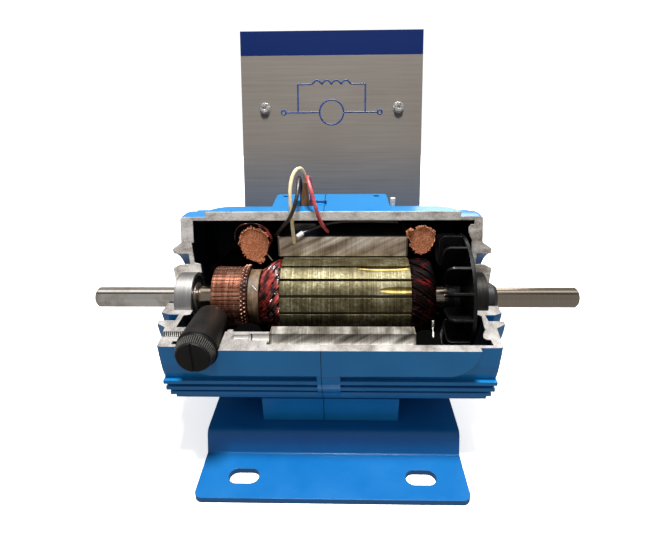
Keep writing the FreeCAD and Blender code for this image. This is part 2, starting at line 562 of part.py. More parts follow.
for i, (sx, sy) in enumerate(((-1, -1), (1, -1), (-1, 1), (1, 1))):
    bores.append(rod("foot_tap_%d" % i, d.foot_screw_r + d.hole_gap, -d.foot_bottom - 1,
                     d.foot_screw_tip - d.bridge_top + 2, UPRIGHT,
                     x=d.foot_screw_x * sx - d.motor_x, y=d.foot_screw_y * sy))
bores.append(rod("side_screw_hole", d.side_screw_r + d.press_gap, d.cavity_hh - 1, d.side_head * 2, UPRIGHT,
                 x=d.side_screw_x, y=d.side_screw_y))
bored = cut("housing_bored", blank, fuse("housing_bores", *bores))
opened = cut("housing_opened", bored, cutaway("housing_window"))
far = d.far
keep("housing_left", common("left_shell", opened,
                            block("left_side", -far, d.seam_x, -far, far, -far, far)))
keep("housing_right", common("right_shell", opened,
                             block("right_side", d.seam_x, far, -far, far, -far, far)))


# Stator stack: two poles in a yoke, with an insulating plate at each end.
def stack(name, x0, x1):
    section = extruded(name + "_section", "YZ_Plane",
                       rounded_section(d.stack_hw, d.stack_hh, d.stack_round), x0, as_size(x1) - x0)
    slab = block(name + "_slab", x0, x1, -d.stack_hw, d.stack_hw, -d.stack_flat_z, d.stack_flat_z)
    tools = [rod(name + "_bore", d.bore_r, as_size(x0) - 1, as_size(x1) - x0 + 2, ALONG_X)]
    start, stop = as_size(x0) - 1, as_size(x1) + 1
    for index, middle in enumerate((0, 180)):
        tools.append(sector("%s_gap_%d" % (name, index), d.yoke_face_y, start, stop,
                            middle - d.slot_first, d.slot_first * 2))
        tools.append(rod("%s_channel_%d" % (name, index), d.channel_r, start, stop - start, ALONG_X,
                         y=d.channel_y * (1 - 2 * index)))
    slots = []
    for index, first in enumerate((d.slot_first, -d.slot_last, 180 + d.slot_first, 180 - d.slot_last)):
        slots.append(sector("%s_slot_%d" % (name, index), d.slot_outer_r, start, stop, first,
                            d.slot_last - d.slot_first))
    inner = rod(name + "_slot_floor", d.slot_inner_r, start - 1, stop - start + 2, ALONG_X)
    tools.append(cut(name + "_slots", fuse(name + "_slot_set", *slots), inner))
    whole = cut(name + "_whole", common(name + "_blank", section, slab), fuse(name + "_tools", *tools))
    return cut(name + "_cut", whole, cutaway(name + "_window"))


keep("stator_core", stack("stack", d.stack_left, d.stack_right))
keep("stator_end_plate_left", stack("plate_left", d.stack_left - d.end_plate, d.stack_left))
keep("stator_end_plate_right", stack("plate_right", d.stack_right, d.stack_right + d.end_plate))


# Field coils: a loop round each pole, bars in the slots and a bow over each end.
def coil(name, side):
    first = d.slot_first + d.coil_angle_gap
    last = d.slot_last - d.coil_angle_gap
    parts = []
    ends = ((d.coil_left_x, d.coil_left_half, d.coil_left_r, d.coil_left_high, d.coil_left_round),
            (d.coil_right_x, d.coil_right_half, d.coil_right_r, d.coil_right_high, d.coil_right_round))
    for index, (x, half, radius, high, corner) in enumerate(ends):
        corners = [(x + half * sx, radius + high * sz, corner)
                   for sx, sz in ((-1, -1), (1, -1), (1, 1), (-1, 1))]
        ring = turned("%s_ring_%d" % (name, index), corners)
        wedge = sector("%s_span_%d" % (name, index), d.far, x - half - 1, x + half + 1,
                       first + 180 * side, 180 - first * 2)
        parts.append(common("%s_bow_%d" % (name, index), ring, wedge))
    bars = []
    for index, angle in enumerate((first, 180 - last)):
        bars.append(sector("%s_bar_%d" % (name, index), d.slot_outer_r - d.coil_gap, d.coil_left_x,
                           d.coil_right_x, angle + 180 * side, last - first))
    floor = rod(name + "_floor", d.slot_inner_r + d.coil_gap, d.coil_left_x - 1,
                d.coil_right_x - d.coil_left_x + 2, ALONG_X)
    parts.append(cut(name + "_bars", fuse(name + "_bar_set", *bars), floor))
    return fuse(name + "_loop", *parts)


keep("field_coil_upper", cut("upper_coil_cut", coil("upper_coil", 0), cutaway("coil_window")))
keep("field_coil_lower", coil("lower_coil", 1))

# Stator bolt on the far side, with its washer face against the stack.
plate_face = d.stack_right + d.end_plate
shank = rod("bolt_shank", d.bolt_r, d.bolt_tip_x - 9, plate_face - d.bolt_tip_x + 9, ALONG_X, y=d.bolt_y)
washer = rod("bolt_washer_face", d.bolt_washer_r, plate_face, d.bolt_washer, ALONG_X, y=d.bolt_y)
head = rod("bolt_head_solid", d.bolt_head_r, plate_face + d.bolt_washer, d.bolt_head, ALONG_X, y=d.bolt_y)
socket = rod("bolt_socket", d.bolt_socket_r, plate_face + d.bolt_washer + d.bolt_head - d.bolt_socket_depth,
             d.bolt_socket_depth + 1, ALONG_X, y=d.bolt_y)
keep("stator_bolt", cut("stator_bolt_cut", fuse("stator_bolt_solid", shank, washer, head), socket))


# Bearings: grooved rings, balls in a cage, a black seal on the inner side.
for side, name in ((-1, "left"), (1, "right")):
    middle = d.bearing_x * side
    half = d.bearing_width / 2
    x0, x1 = middle - half, middle + half
    groove = doc.addObject("Part::Torus", "groove_" + name)
    bind(groove, "Radius1", d.ball_pitch_r)
    bind(groove, "Radius2", d.ball_r + d.race_gap)
    place(groove, middle, 0, 0, ALONG_X)
    outer = cut("outer_ring_" + name, rod("outer_blank_" + name, d.bearing_r - d.press_gap, x0,
                                          d.bearing_width, ALONG_X),
                rod("outer_bore_" + name, d.outer_land_r, x0 - 1, d.bearing_width + 2, ALONG_X))
    inner = cut("inner_ring_" + name, rod("inner_blank_" + name, d.inner_land_r, x0,
                                          d.bearing_width, ALONG_X),
                rod("inner_bore_" + name, d.seat_r + d.press_gap, x0 - 1, d.bearing_width + 2, ALONG_X))
    keep("bearing_outer_" + name, cut("outer_race_" + name, outer, groove))
    keep("bearing_inner_" + name, cut("inner_race_" + name, inner, groove))
    balls = []
    pockets = []
    for i in range(int(d.ball_count.value)):
        angle = 2 * math.pi * i / d.ball_count.value
        for kind, group, radius in (("ball", balls, d.ball_r), ("pocket", pockets, d.ball_r + d.pocket_gap)):
            ball = doc.addObject("Part::Sphere", "%s_%s_%d" % (kind, name, i))
            bind(ball, "Radius", radius)
            place(ball, middle, d.ball_pitch_r * math.cos(angle), d.ball_pitch_r * math.sin(angle))
            group.append(ball)
    keep("bearing_balls_" + name, compound("ball_set_" + name, *balls))
    cage = cut("cage_ring_" + name,
               rod("cage_blank_" + name, d.cage_outer_r, middle - d.cage_half, d.cage_half * 2, ALONG_X),
               rod("cage_bore_" + name, d.cage_inner_r, middle - d.cage_half - 1, d.cage_half * 2 + 2, ALONG_X))
    keep("bearing_cage_" + name, cut("cage_" + name, cage, fuse("cage_pockets_" + name, *pockets)))
    face = x1 - d.seal_depth - d.seal_thick if side < 0 else x0 + d.seal_depth
    keep("bearing_seal_" + name, cut("seal_" + name,
         rod("seal_blank_" + name, d.outer_land_r - d.press_gap, face, d.seal_thick, ALONG_X),
         rod("seal_bore_" + name, d.seal_inner_r, face - 1, d.seal_thick + 2, ALONG_X)))
start = -d.bearing_outer_x - d.preload_thick
keep("preload_washer", cut("preload_ring",
     rod("preload_blank", d.bearing_r - d.body_gap, start, d.preload_thick, ALONG_X),
     rod("preload_bore", d.preload_inner_r, start - 1, d.preload_thick + 2, ALONG_X)))

# Shaft with its seats, and the collar outside the right bearing.
c = d.shaft_chamfer
shaft_profile = (
    (d.shaft_left, 0), (d.shaft_left, d.shaft_end_r - c), (d.shaft_left + c, d.shaft_end_r),
    (-d.seat_outer_x, d.shaft_end_r), (-d.seat_outer_x, d.seat_r), (-d.seat_inner_x, d.seat_r),
    (-d.seat_inner_x, d.shaft_mid_r), (d.seat_inner_x, d.shaft_mid_r), (d.seat_inner_x, d.seat_r),
    (d.collar_seat_x, d.seat_r), (d.collar_seat_x, d.shaft_end_r),
    (d.shaft_right - c, d.shaft_end_r), (d.shaft_right, d.shaft_end_r - c), (d.shaft_right, 0),
)
keep("shaft", turned("shaft_body", shaft_profile))
collar = ((d.collar_left, d.seat_r + d.press_gap), (d.collar_left, d.collar_r),
          (d.collar_flat, d.collar_r), (d.collar_right, d.seat_r + d.collar_rim),
          (d.collar_right, d.seat_r + d.press_gap))
keep("shaft_collar", turned("collar_body", collar))


# Armature: slotted core, one winding through the slots, wedges that close them.
def spokes(name, count, first, x0, x1, half, low, high):
    """Boxes round the X axis; the first is turned by first degrees from +Z toward -Y."""
    boxes = []
    for i in range(count):
        box = block("%s_%d" % (name, i), x0, x1, -half, half, low, high)
        turn = FreeCAD.Rotation(X_AXIS, first.value + 360.0 * i / count)
        holder = doc.addObject("Part::Compound", "%s_turn_%d" % (name, i))
        holder.Links = [box]
        holder.Placement = FreeCAD.Placement(FreeCAD.Vector(), turn)
        boxes.append(holder)
    return boxes


slots = int(d.rotor_slots.value)
long0, long1 = d.rotor_left - 1, d.rotor_right + 1
core_blank = cut("core_ring", rod("core_rod", d.rotor_r, d.rotor_left, d.rotor_right - d.rotor_left, ALONG_X),
                 rod("core_bore", d.shaft_mid_r + d.press_gap, long0, long1 - long0, ALONG_X))
core_tools = spokes("slot_room", slots, d.rotor_slot_first, long0, long1, d.rotor_slot_half, d.rotor_slot_root, d.rotor_slot_top)
core_tools += spokes("slot_mouth", slots, d.rotor_slot_first, long0, long1, d.rotor_mouth_half,
                     d.rotor_slot_top - 1, d.rotor_r + 1)
balance = ((d.balance_1_x, d.balance_1_long, d.balance_1_wide, d.balance_1_turn),
           (d.balance_2_x, d.balance_2_long, d.balance_2_wide, d.balance_2_turn))
for i, (x, length, width, angle) in enumerate(balance):
    lens = doc.addObject("Part::Ellipsoid", "balance_lens_%d" % i)
    bind(lens, "Radius1", d.balance_depth)
    bind(lens, "Radius2", length / 2)
    bind(lens, "Radius3", width / 2)
    place(lens, x, 0, d.rotor_r)
    turned_lens = doc.addObject("Part::Compound", "balance_turn_%d" % i)
    turned_lens.Links = [lens]
    turned_lens.Placement = FreeCAD.Placement(FreeCAD.Vector(), FreeCAD.Rotation(X_AXIS, angle.value))
    core_tools.append(turned_lens)
keep("armature_core", cut("core_cut", core_blank, fuse("core_tools", *core_tools)))
left_wind = ((d.wind_neck_left, d.wind_bore_r), (d.wind_neck_left, d.wind_neck_r),
             (d.wind_left, d.wind_neck_r), (d.wind_left, d.wind_left_r, 1.5),
             (d.rotor_left - 4, d.wind_left_high_r, 3), (d.rotor_left - 0.4, d.wind_left_high_r),
             (d.rotor_left - 0.4, d.wind_bore_r))
right_wind = ((d.rotor_right + 0.4, d.wind_bore_r), (d.rotor_right + 0.4, d.wind_right_high_r),
              (d.rotor_right + 6, d.wind_right_high_r, 2), (d.wind_right, d.wind_right_r, 3),
              (d.wind_right, d.wind_bore_r))
wires = spokes("slot_wires", slots, d.rotor_slot_first, d.rotor_left - 2, d.rotor_right + 2, d.wire_half,
               d.wire_root, d.wire_top)
keep("armature_winding", fuse("winding", turned("left_wind", left_wind), turned("right_wind", right_wind), *wires))
keep("slot_wedges", compound("wedge_set", *spokes("wedge", slots, d.rotor_slot_first, d.rotor_left,
                                                  d.rotor_right, d.wire_half, d.wedge_root, d.wedge_top)))

# Commutator: separate bars on an insulating hub, and the band that binds the leads behind it.
bar_profile = ((d.com_left, d.com_root_r), (d.com_left, d.com_r), (d.com_right, d.com_r),
               (d.com_right, d.riser_r), (d.riser_right, d.riser_r), (d.riser_right, d.com_root_r))
bar_ring = turned("bar_ring", bar_profile)
bars = []
for i in range(int(d.com_bars.value)):
    wedge = sector("bar_span_%d" % i, d.far, d.com_left - 1, d.riser_right + 1,
                   360.0 * i / d.com_bars.value, d.com_bar_angle)
    bars.append(wedge)
keep("commutator_bars", common("bar_set", bar_ring, compound("bar_spans", *bars)))
hub_long = d.riser_right - d.com_hub_left
keep("commutator_hub", cut("com_hub", rod("com_hub_rod", d.com_hub_r, d.com_hub_left, hub_long, ALONG_X),
                           rod("com_hub_bore", d.hub_bore_r, d.com_hub_left - 1, hub_long + 2, ALONG_X)))
band_long = d.wind_neck_left - d.band_left - 0.1
keep("binding_band", cut("band", rod("band_rod", d.band_r, d.band_left, band_long, ALONG_X),
                         rod("band_bore", d.hub_bore_r, d.band_left - 1, band_long + 2, ALONG_X)))

# Fan: a disc with blades on its inner face and a hub on the shaft.
disc = ((d.fan_hub_left, d.hub_bore_r), (d.fan_hub_left, d.fan_hub_r),
        (d.fan_disc_left - d.fan_hub_step, d.fan_hub_r), (d.fan_disc_left, d.fan_hub_r + 2, 2), (d.fan_disc_left, d.fan_r), (d.fan_disc_right, d.fan_r),
        (d.fan_disc_right, d.hub_bore_r))
blade_zone = turned("blade_zone", (
    (d.fan_left, d.fan_blade_inner, d.fan_blade_round), (d.fan_left, d.fan_r, d.fan_tip_round),
    (d.fan_disc_left + 1, d.fan_r), (d.fan_disc_left + 1, d.fan_blade_inner)))
blades = spokes("blade", int(d.fan_blades.value), d.fan_blade_first, d.fan_left - 1, d.fan_disc_left + 1,
                d.fan_blade_half, d.fan_blade_inner - 1, d.fan_r + 1)
blade_set = common("blade_set", blade_zone, compound("blade_boxes", *blades))
keep("fan", fuse("fan_solid", turned("fan_disc", disc), blade_set))


# Brush gear, near and far: holder tube, brass sleeve, carbon brush, spring and screw cap.
def brush_gear(name, side):
    def across(label, r0, r1, y0, y1):
        start = y0 if side > 0 else -as_size(y0)
        turn = ALONG_Y if side > 0 else FreeCAD.Rotation(X_AXIS, 90)
        part = doc.addObject("Part::Cone" if r0 is not r1 else "Part::Cylinder", label + name)
        if r0 is r1:
            bind(part, "Radius", r0)
        else:
            bind(part, "Radius1", r0)
            bind(part, "Radius2", r1)
        bind(part, "Height", as_size(y1) - y0)
        return place(part, d.brush_x, start, 0, turn)

    def brick(label, half_x, half_z, y0, y1):
        low, high = (y0, y1) if side > 0 else (-as_size(y1), -as_size(y0))
        return block(label + name, d.brush_x - half_x, d.brush_x + half_x, low, high, -half_z, half_z)

    tube = across("holder_tube_", d.holder_start_r, d.holder_end_r, d.holder_start, d.holder_end)
    flange = across("holder_flange_", d.flange_r, d.flange_r, d.holder_end, d.flange_end)
    bore = across("holder_bore_", d.holder_bore_r, d.holder_bore_r, d.holder_start - 1, d.flange_end + 1)
    keep("brush_holder_" + name, cut("holder_" + name, fuse("holder_solid_" + name, tube, flange), bore))
    sleeve = across("sleeve_rod_", d.sleeve_r, d.sleeve_r, d.sleeve_start, d.sleeve_end)
    way = brick("sleeve_way_", d.brush_half_x + d.brush_gap, d.brush_half_z + d.brush_gap,
                d.sleeve_start - 1, d.spring_start + 1)
    room = brick("sleeve_room_", d.cap_stub_r + 0.3, d.cap_stub_r + 0.3, d.brush_end_y, d.sleeve_end + 1)
    keep("brush_sleeve_" + name, cut("sleeve_" + name, sleeve, fuse("sleeve_tools_" + name, way, room)))
    carbon = brick("brush_block_", d.brush_half_x, d.brush_half_z, d.com_r - 1, d.brush_end_y)
    face = rod("brush_face_" + name, d.com_r + d.brush_gap, d.com_left - 9, d.com_right - d.com_left + 9, ALONG_X)
    keep("brush_" + name, cut("brush_cut_" + name, carbon, face))
    cap = across("cap_head_", d.cap_start_r, d.cap_end_r, d.flange_end, d.cap_end)
    stub = across("cap_stub_", d.cap_stub_r, d.cap_stub_r, d.cap_stub_y, d.flange_end + 1)
    slot = brick("cap_slot_", d.cap_slot_half, d.cap_start_r + 1, d.cap_end - d.cap_slot_depth, d.cap_end + 1)
    keep("brush_cap_" + name, cut("cap_" + name, fuse("cap_solid_" + name, cap, stub), slot))
    helix = doc.addObject("Part::Helix", "spring_path_" + name)
    bind(helix, "Pitch", d.spring_pitch)
    bind(helix, "Height", d.spring_high)
    bind(helix, "Radius", d.spring_r)
    circle = doc.addObject("Part::Circle", "spring_wire_" + name)
    bind(circle, "Radius", d.spring_wire_r)
    place(circle, d.spring_r, 0, 0, FreeCAD.Rotation(X_AXIS, 90))
    sweep = doc.addObject("Part::Sweep", "spring_" + name)
    sweep.Sections = [circle]
    sweep.Spine = (helix, [])
    sweep.Solid = True
    sweep.Frenet = True
    start = d.spring_start if side > 0 else -d.spring_start
    turn = ALONG_Y if side > 0 else FreeCAD.Rotation(X_AXIS, 90)
    keep("brush_spring_" + name, place(sweep, 0, start, 0, turn), x=d.brush_x)


brush_gear("front", -1)
brush_gear("rear", 1)


# Sign plate: drawn flat from its own foot line, then leaned back over the rear flange.
def lean(obj):
    turn = FreeCAD.Rotation(X_AXIS, -d.sign_lean.value)
    return place(obj, d.sign_x, d.sign_foot_y, d.sign_foot_z, turn)


def sign_places():
    height = d.sign_above - d.sign_screw_drop
    return [(d.sign_screw_x * side, height, "left" if side < 0 else "right") for side in (-1, 1)]


plate = block("sign_blank", -d.sign_half_x, d.sign_half_x, 0, d.sign_thick, -d.sign_below, d.sign_above)
holes = [rod("sign_hole_" + n, d.sign_hole_r, -1, d.sign_thick + 2, ALONG_Y, x=x, z=z)
         for x, z, n in sign_places()]
keep("sign_plate", lean(cut("sign_cut", plate, fuse("sign_holes", *holes))), motor=False)

# Bracket: an upright behind the plate that bends back to a foot on the rear flange.
lean_tan = math.tan(math.radians(d.sign_lean.value))
lean_cos = math.cos(math.radians(d.sign_lean.value))
back = d.sign_foot_y + d.sign_thick / lean_cos
foot_z = d.base_thick


def slope_y(height):
    """Y of the plate's rear face at a height above the ground."""
    return back + (height - d.sign_foot_z) * lean_tan


b = d.bracket_thick
top_z = d.sign_foot_z + d.bracket_above * lean_cos
bracket_profile = (
    (slope_y(foot_z), foot_z, 4.5), (d.bracket_foot_y, foot_z), (d.bracket_foot_y, foot_z + b),
    (slope_y(foot_z + b) + b / lean_cos, foot_z + b, 1.5), (slope_y(top_z) + b / lean_cos, top_z),
    (slope_y(top_z), top_z),
)
bracket = extruded("bracket_sheet", "YZ_Plane", bracket_profile, d.sign_x - d.bracket_half_x,
                   d.bracket_half_x * 2)
bracket_tools = []
for x, z, n in sign_places():
    bracket_tools.append(rod("bracket_hole_" + n, d.sign_hole_r, 0, d.bracket_thick * 3, ALONG_Y, x=x, z=z))
reach = lean(fuse("bracket_sign_holes", *bracket_tools))
feet = [rod("bracket_foot_hole_%d" % side, d.bracket_screw_r + d.hole_gap, 0, d.far, UPRIGHT,
            x=d.bracket_screw_x * side, y=d.bracket_screw_y) for side in (-1, 1)]
far = d.far
for side in (-1, 1):
    low, high = (-far, -d.bracket_foot_x) if side < 0 else (d.bracket_foot_x, far)
    feet.append(block("bracket_notch_%d" % side, low, high, 0, far, 0, d.bracket_notch_z))
keep("sign_bracket", cut("bracket_cut", bracket, fuse("bracket_tools", reach, *feet)), motor=False)

screws, washers, nuts = [], [], []
for x, z, n in sign_places():
    face = -d.sign_washer
    washers.append(cut("sign_washer_" + n, rod("sign_washer_disc_" + n, d.sign_washer_r, face, d.sign_washer,
                                               ALONG_Y, x=x, z=z),
                       rod("sign_washer_hole_" + n, d.sign_hole_r, face - 1, d.sign_washer + 2, ALONG_Y, x=x, z=z)))
    head = rod("sign_head_" + n, d.sign_head_r, face - d.sign_head, d.sign_head, ALONG_Y, x=x, z=z)
    grip = d.sign_washer + d.sign_thick + d.bracket_thick + d.sign_nut + 1.5
    shank = rod("sign_shank_" + n, d.sign_screw_r, face, grip, ALONG_Y, x=x, z=z)
    socket = rod("sign_socket_" + n, d.sign_screw_r * 0.7, face - d.sign_head - 1, d.sign_head * 0.6 + 1,
                 ALONG_Y, x=x, z=z)
    screws.append(cut("sign_screw_" + n, fuse("sign_screw_solid_" + n, head, shank), socket))
    nut = doc.addObject("Part::Prism", "sign_nut_body_" + n)
    nut.Polygon = 6
    bind(nut, "Circumradius", d.sign_nut_r)
    bind(nut, "Height", d.sign_nut)
    place(nut, x, d.sign_thick + d.bracket_thick, z, ALONG_Y)
    nuts.append(cut("sign_nut_" + n, nut, rod("sign_nut_hole_" + n, d.sign_screw_r + d.press_gap, 0, d.far,
                                              ALONG_Y, x=x, z=z)))
keep("sign_screws", lean(compound("sign_screw_set", *screws)), motor=False)
keep("sign_washers", lean(compound("sign_washer_set", *washers)), motor=False)
keep("sign_nuts", lean(compound("sign_nut_set", *nuts)), motor=False)

screws = []
for side in (-1, 1):
    x, n = d.bracket_screw_x * side, "left" if side < 0 else "right"
    top = d.base_thick + d.bracket_thick
    head = rod("bracket_head_" + n, d.bracket_head_r, top, d.bracket_head, UPRIGHT, x=x, y=d.bracket_screw_y)
    shank = rod("bracket_shank_" + n, d.bracket_screw_r, 0.4, top, UPRIGHT, x=x, y=d.bracket_screw_y)
    socket = rod("bracket_socket_" + n, d.bracket_screw_r * 0.6, top + d.bracket_head * 0.4, d.bracket_head,
                 UPRIGHT, x=x, y=d.bracket_screw_y)
    screws.append(cut("bracket_screw_" + n, fuse("bracket_solid_" + n, head, shank), socket))
keep("bracket_screws", compound("bracket_screw_set", *screws), motor=False)


# Leads: straight runs joined by tangent bends, swept with a round section.
def lead(node, points, radius):
    """A tube along the points; the bend radius follows from the shorter run at each point."""
    points = [FreeCAD.Vector(*p) for p in points]
    pieces = []
    here = points[0]
    bends = []
    for i in range(1, len(points) - 1):
        into = (points[i - 1] - points[i])
        out = (points[i + 1] - points[i])
        shorter = min(into.Length, out.Length)
        into.normalize()
        out.normalize()
        half_turn = (math.pi - into.getAngle(out)) / 2
        bend = 0.45 * shorter / math.tan(half_turn)
        bends.append(bend)
        run = bend * math.tan(half_turn)
        first = points[i] + into * run
        last = points[i] + out * run
        inward = (into + out).normalize()
        centre = points[i] + inward * (bend / math.cos(half_turn))
        pieces.append(Part.LineSegment(here, first).toShape())
        pieces.append(Part.Arc(first, centre - inward * bend, last).toShape())
        here = last
    pieces.append(Part.LineSegment(here, points[-1]).toShape())
    wire = Part.Wire(pieces)
    direction = points[1] - points[0]
    ring = Part.Wire([Part.makeCircle(radius.value, points[0], direction)])
    tube = wire.makePipeShell([ring], True, False)
    expected = math.pi * radius.value ** 2 * wire.Length
    print(node, "length %.1f" % wire.Length, "smallest bend %.1f" % min(bends),
          "volume ratio %.3f" % (tube.Volume / expected))
    part = doc.addObject("Part::Feature", node + "_tube")
    part.Shape = tube
    place(part, 0, 0, 0)
    keep(node, part)


ROUTES = {
    "lead_cream": ((-24.6, 9.2, 36.8), (-25.4, 8.4, 50.5), (-25.8, 8.8, 62.5), (-26.0, 10.2, 72.0),
                   (-25.0, 13.8, 79.6), (-22.4, 18.6, 84.4), (-19.2, 24.4, 84.2), (-17.4, 28.6, 78.0),
                   (-16.8, 30.4, 70.0), (-16.8, 30.9, 61.0), (-17.1, 31.0, 52.0)),
    "lead_red": ((-2.0, 15.5, 42.4), (-5.2, 10.8, 48.4), (-7.8, 8.4, 55.2), (-9.5, 8.0, 62.6),
                 (-11.3, 9.5, 69.3), (-13.3, 13.4, 75.4), (-15.2, 19.2, 79.2), (-14.6, 25.4, 77.8),
                 (-13.5, 28.8, 70.6), (-13.3, 29.6, 62.0), (-13.6, 29.4, 54.0)),
    "lead_black": ((-38.4, 17.2, 39.4), (-33.2, 12.0, 46.2), (-27.6, 6.0, 53.6), (-23.6, 5.2, 61.4),
                   (-21.4, 8.0, 68.4), (-20.8, 13.4, 74.4), (-20.8, 19.6, 78.4), (-20.7, 25.6, 77.6),
                   (-20.4, 29.4, 71.0), (-20.3, 30.2, 61.5), (-20.5, 30.2, 52.0)),
    "lead_ferruled": ((-22.0, 9.4, 41.6), (-18.6, 11.6, 43.0), (-14.0, 13.5, 44.6), (-7.2, 14.6, 47.0),
                      (0.2, 15.0, 49.2), (8.3, 15.0, 50.2), (17.0, 15.2, 50.3), (26.4, 15.6, 50.2),
                      (35.9, 16.2, 49.7), (45.3, 17.2, 48.9)),
}
for node, route in ROUTES.items():
    lead(node, route, d.lead_r)

# White ferrule over the bare end of the ferruled lead.
first, second = [FreeCAD.Vector(*point) for point in ROUTES["lead_ferruled"][:2]]
aim = (second - first).normalize()
tip = first - aim * d.ferrule_ahead.value
turn = FreeCAD.Rotation(Z_AXIS, aim)
sleeve = doc.addObject("Part::Cylinder", "ferrule_sleeve")
bind(sleeve, "Radius", d.ferrule_r)
bind(sleeve, "Height", d.ferrule_long)
hole = doc.addObject("Part::Cylinder", "ferrule_hole")
bind(hole, "Radius", d.lead_r + d.hole_gap)
bind(hole, "Height", d.ferrule_long)
place(sleeve, tip.x, tip.y, tip.z, turn)
place(hole, first.x - aim.x * 0.3, first.y - aim.y * 0.3, first.z - aim.z * 0.3, turn)
keep("ferrule", cut("ferrule_tube", sleeve, hole))

# Insulating strip standing in the cable hole, and the screw beside the terminal pad.
strip = ((d.strip_left, d.strip_low), (d.strip_right, d.strip_low), (d.strip_right, d.strip_high - 11),
         (d.strip_right - 1.0, d.strip_high - 1, 0.6), (d.strip_left + 2.4, d.strip_high, 0.6),
         (d.strip_left + 0.4, d.strip_high - 10))
keep("insulating_strip", extruded("strip", "XZ_Plane", strip, d.strip_y, d.strip_thick))
screw_head = rod("side_head", d.side_head_r, d.shell_hh, d.side_head, UPRIGHT, x=d.side_screw_x, y=d.side_screw_y)
screw_shank = rod("side_shank", d.side_screw_r, d.cavity_hh, d.shell_hh - d.cavity_hh, UPRIGHT,
                  x=d.side_screw_x, y=d.side_screw_y)
keep("side_screw", fuse("side_screw_solid", screw_head, screw_shank))

doc.recompute()
for item in doc.Objects:
    if "Invalid" in item.State or "Error" in item.State:
        print("PROBLEM", item.Name, item.State)
os.makedirs("parts", exist_ok=True)
for node, obj in finished:
    shape = obj.Shape
    assert not shape.isNull() and shape.isValid(), node
    box = shape.BoundBox
    print("%-24s %2d solids %9.1f mm3  x %.1f..%.1f y %.1f..%.1f z %.1f..%.1f" % (
        node, len(shape.Solids), shape.Volume, box.XMin, box.XMax, box.YMin, box.YMax, box.ZMin, box.ZMax))
    shape.exportStep("parts/%s.step" % node)
print(len(finished), "nodes")
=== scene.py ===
import math

import bmesh
import bpy
import numpy as np
from mathutils import Matrix, Vector


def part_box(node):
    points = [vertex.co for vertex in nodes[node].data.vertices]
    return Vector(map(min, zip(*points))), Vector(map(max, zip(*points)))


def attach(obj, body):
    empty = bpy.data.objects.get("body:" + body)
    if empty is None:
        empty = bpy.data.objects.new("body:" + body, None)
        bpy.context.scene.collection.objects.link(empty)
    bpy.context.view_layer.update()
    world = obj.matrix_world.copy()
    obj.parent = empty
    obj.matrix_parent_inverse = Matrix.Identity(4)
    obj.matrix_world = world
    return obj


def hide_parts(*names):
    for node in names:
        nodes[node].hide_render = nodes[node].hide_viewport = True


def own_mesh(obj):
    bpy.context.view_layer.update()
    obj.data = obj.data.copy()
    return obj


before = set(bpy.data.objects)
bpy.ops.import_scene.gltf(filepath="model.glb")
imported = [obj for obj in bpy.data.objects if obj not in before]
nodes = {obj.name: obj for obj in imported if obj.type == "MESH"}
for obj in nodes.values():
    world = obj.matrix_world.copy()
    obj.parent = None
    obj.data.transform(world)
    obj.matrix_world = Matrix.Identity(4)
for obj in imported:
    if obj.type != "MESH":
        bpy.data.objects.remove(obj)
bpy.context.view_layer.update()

# ------------------------------------------
# Camera: stands in front of the open side, a little above the shaft, and looks slightly down.
# Its matrix is built from the directions forward, right and up that the three angles give.
MM = 0.001
CAMERA_SPOT = Vector((7.1, -271.6, 242.5)) * MM
CAMERA_PITCH = math.radians(25.88)
CAMERA_YAW = math.radians(-1.50)
CAMERA_ROLL = math.radians(-0.65)
FOCAL_PIXELS = 450.0
PICTURE_WIDTH = 666.0
SENSOR = 36.0
NEAREST = 10 * MM

forward = Vector((math.sin(CAMERA_YAW) * math.cos(CAMERA_PITCH),
                  math.cos(CAMERA_YAW) * math.cos(CAMERA_PITCH), -math.sin(CAMERA_PITCH)))
level_right = Vector((math.cos(CAMERA_YAW), -math.sin(CAMERA_YAW), 0))
level_up = level_right.cross(forward)
right = math.cos(CAMERA_ROLL) * level_right + math.sin(CAMERA_ROLL) * level_up
up = math.cos(CAMERA_ROLL) * level_up - math.sin(CAMERA_ROLL) * level_right
camera = bpy.data.objects.new("camera", bpy.data.cameras.new("camera"))
camera.data.sensor_width = SENSOR
camera.data.lens = FOCAL_PIXELS * SENSOR / PICTURE_WIDTH
camera.data.clip_start = NEAREST
camera.matrix_world = (Matrix.Translation(CAMERA_SPOT)
                       @ Matrix((right, up, -forward)).transposed().to_4x4())
bpy.context.collection.objects.link(camera)
bpy.context.scene.camera = camera


# ------------------------------------------
# Base plate and the bracket behind the sign: bent sheet under a gloss blue powder coat with a
# faint orange-peel ripple. Screws from below hold the motor's feet down on the plate.
class Field:
    """A value that varies over a surface; arithmetic on it adds the nodes that work it out."""

    def __init__(self, finish, socket):
        self.maths = finish.maths
        self.socket = socket

    def __add__(self, other):
        return self.maths("ADD", self, other)

    def __sub__(self, other):
        return self.maths("SUBTRACT", self, other)

    def __rsub__(self, other):
        return self.maths("SUBTRACT", other, self)

    def __mul__(self, other):
        return self.maths("MULTIPLY", self, other)

    def __truediv__(self, other):
        return self.maths("DIVIDE", self, other)

    def __rtruediv__(self, other):
        return self.maths("DIVIDE", other, self)

    def __pow__(self, other):
        return self.maths("POWER", self, other)

    def __gt__(self, other):
        return self.maths("GREATER_THAN", self, other)

    def __lt__(self, other):
        return self.maths("LESS_THAN", self, other)

    def __abs__(self):
        return self.maths("ABSOLUTE", self)

    def __or__(self, other):
        return self.maths("MAXIMUM", self, other)

    def __and__(self, other):
        return self.maths("MINIMUM", self, other)

    __radd__ = __add__
    __rmul__ = __mul__


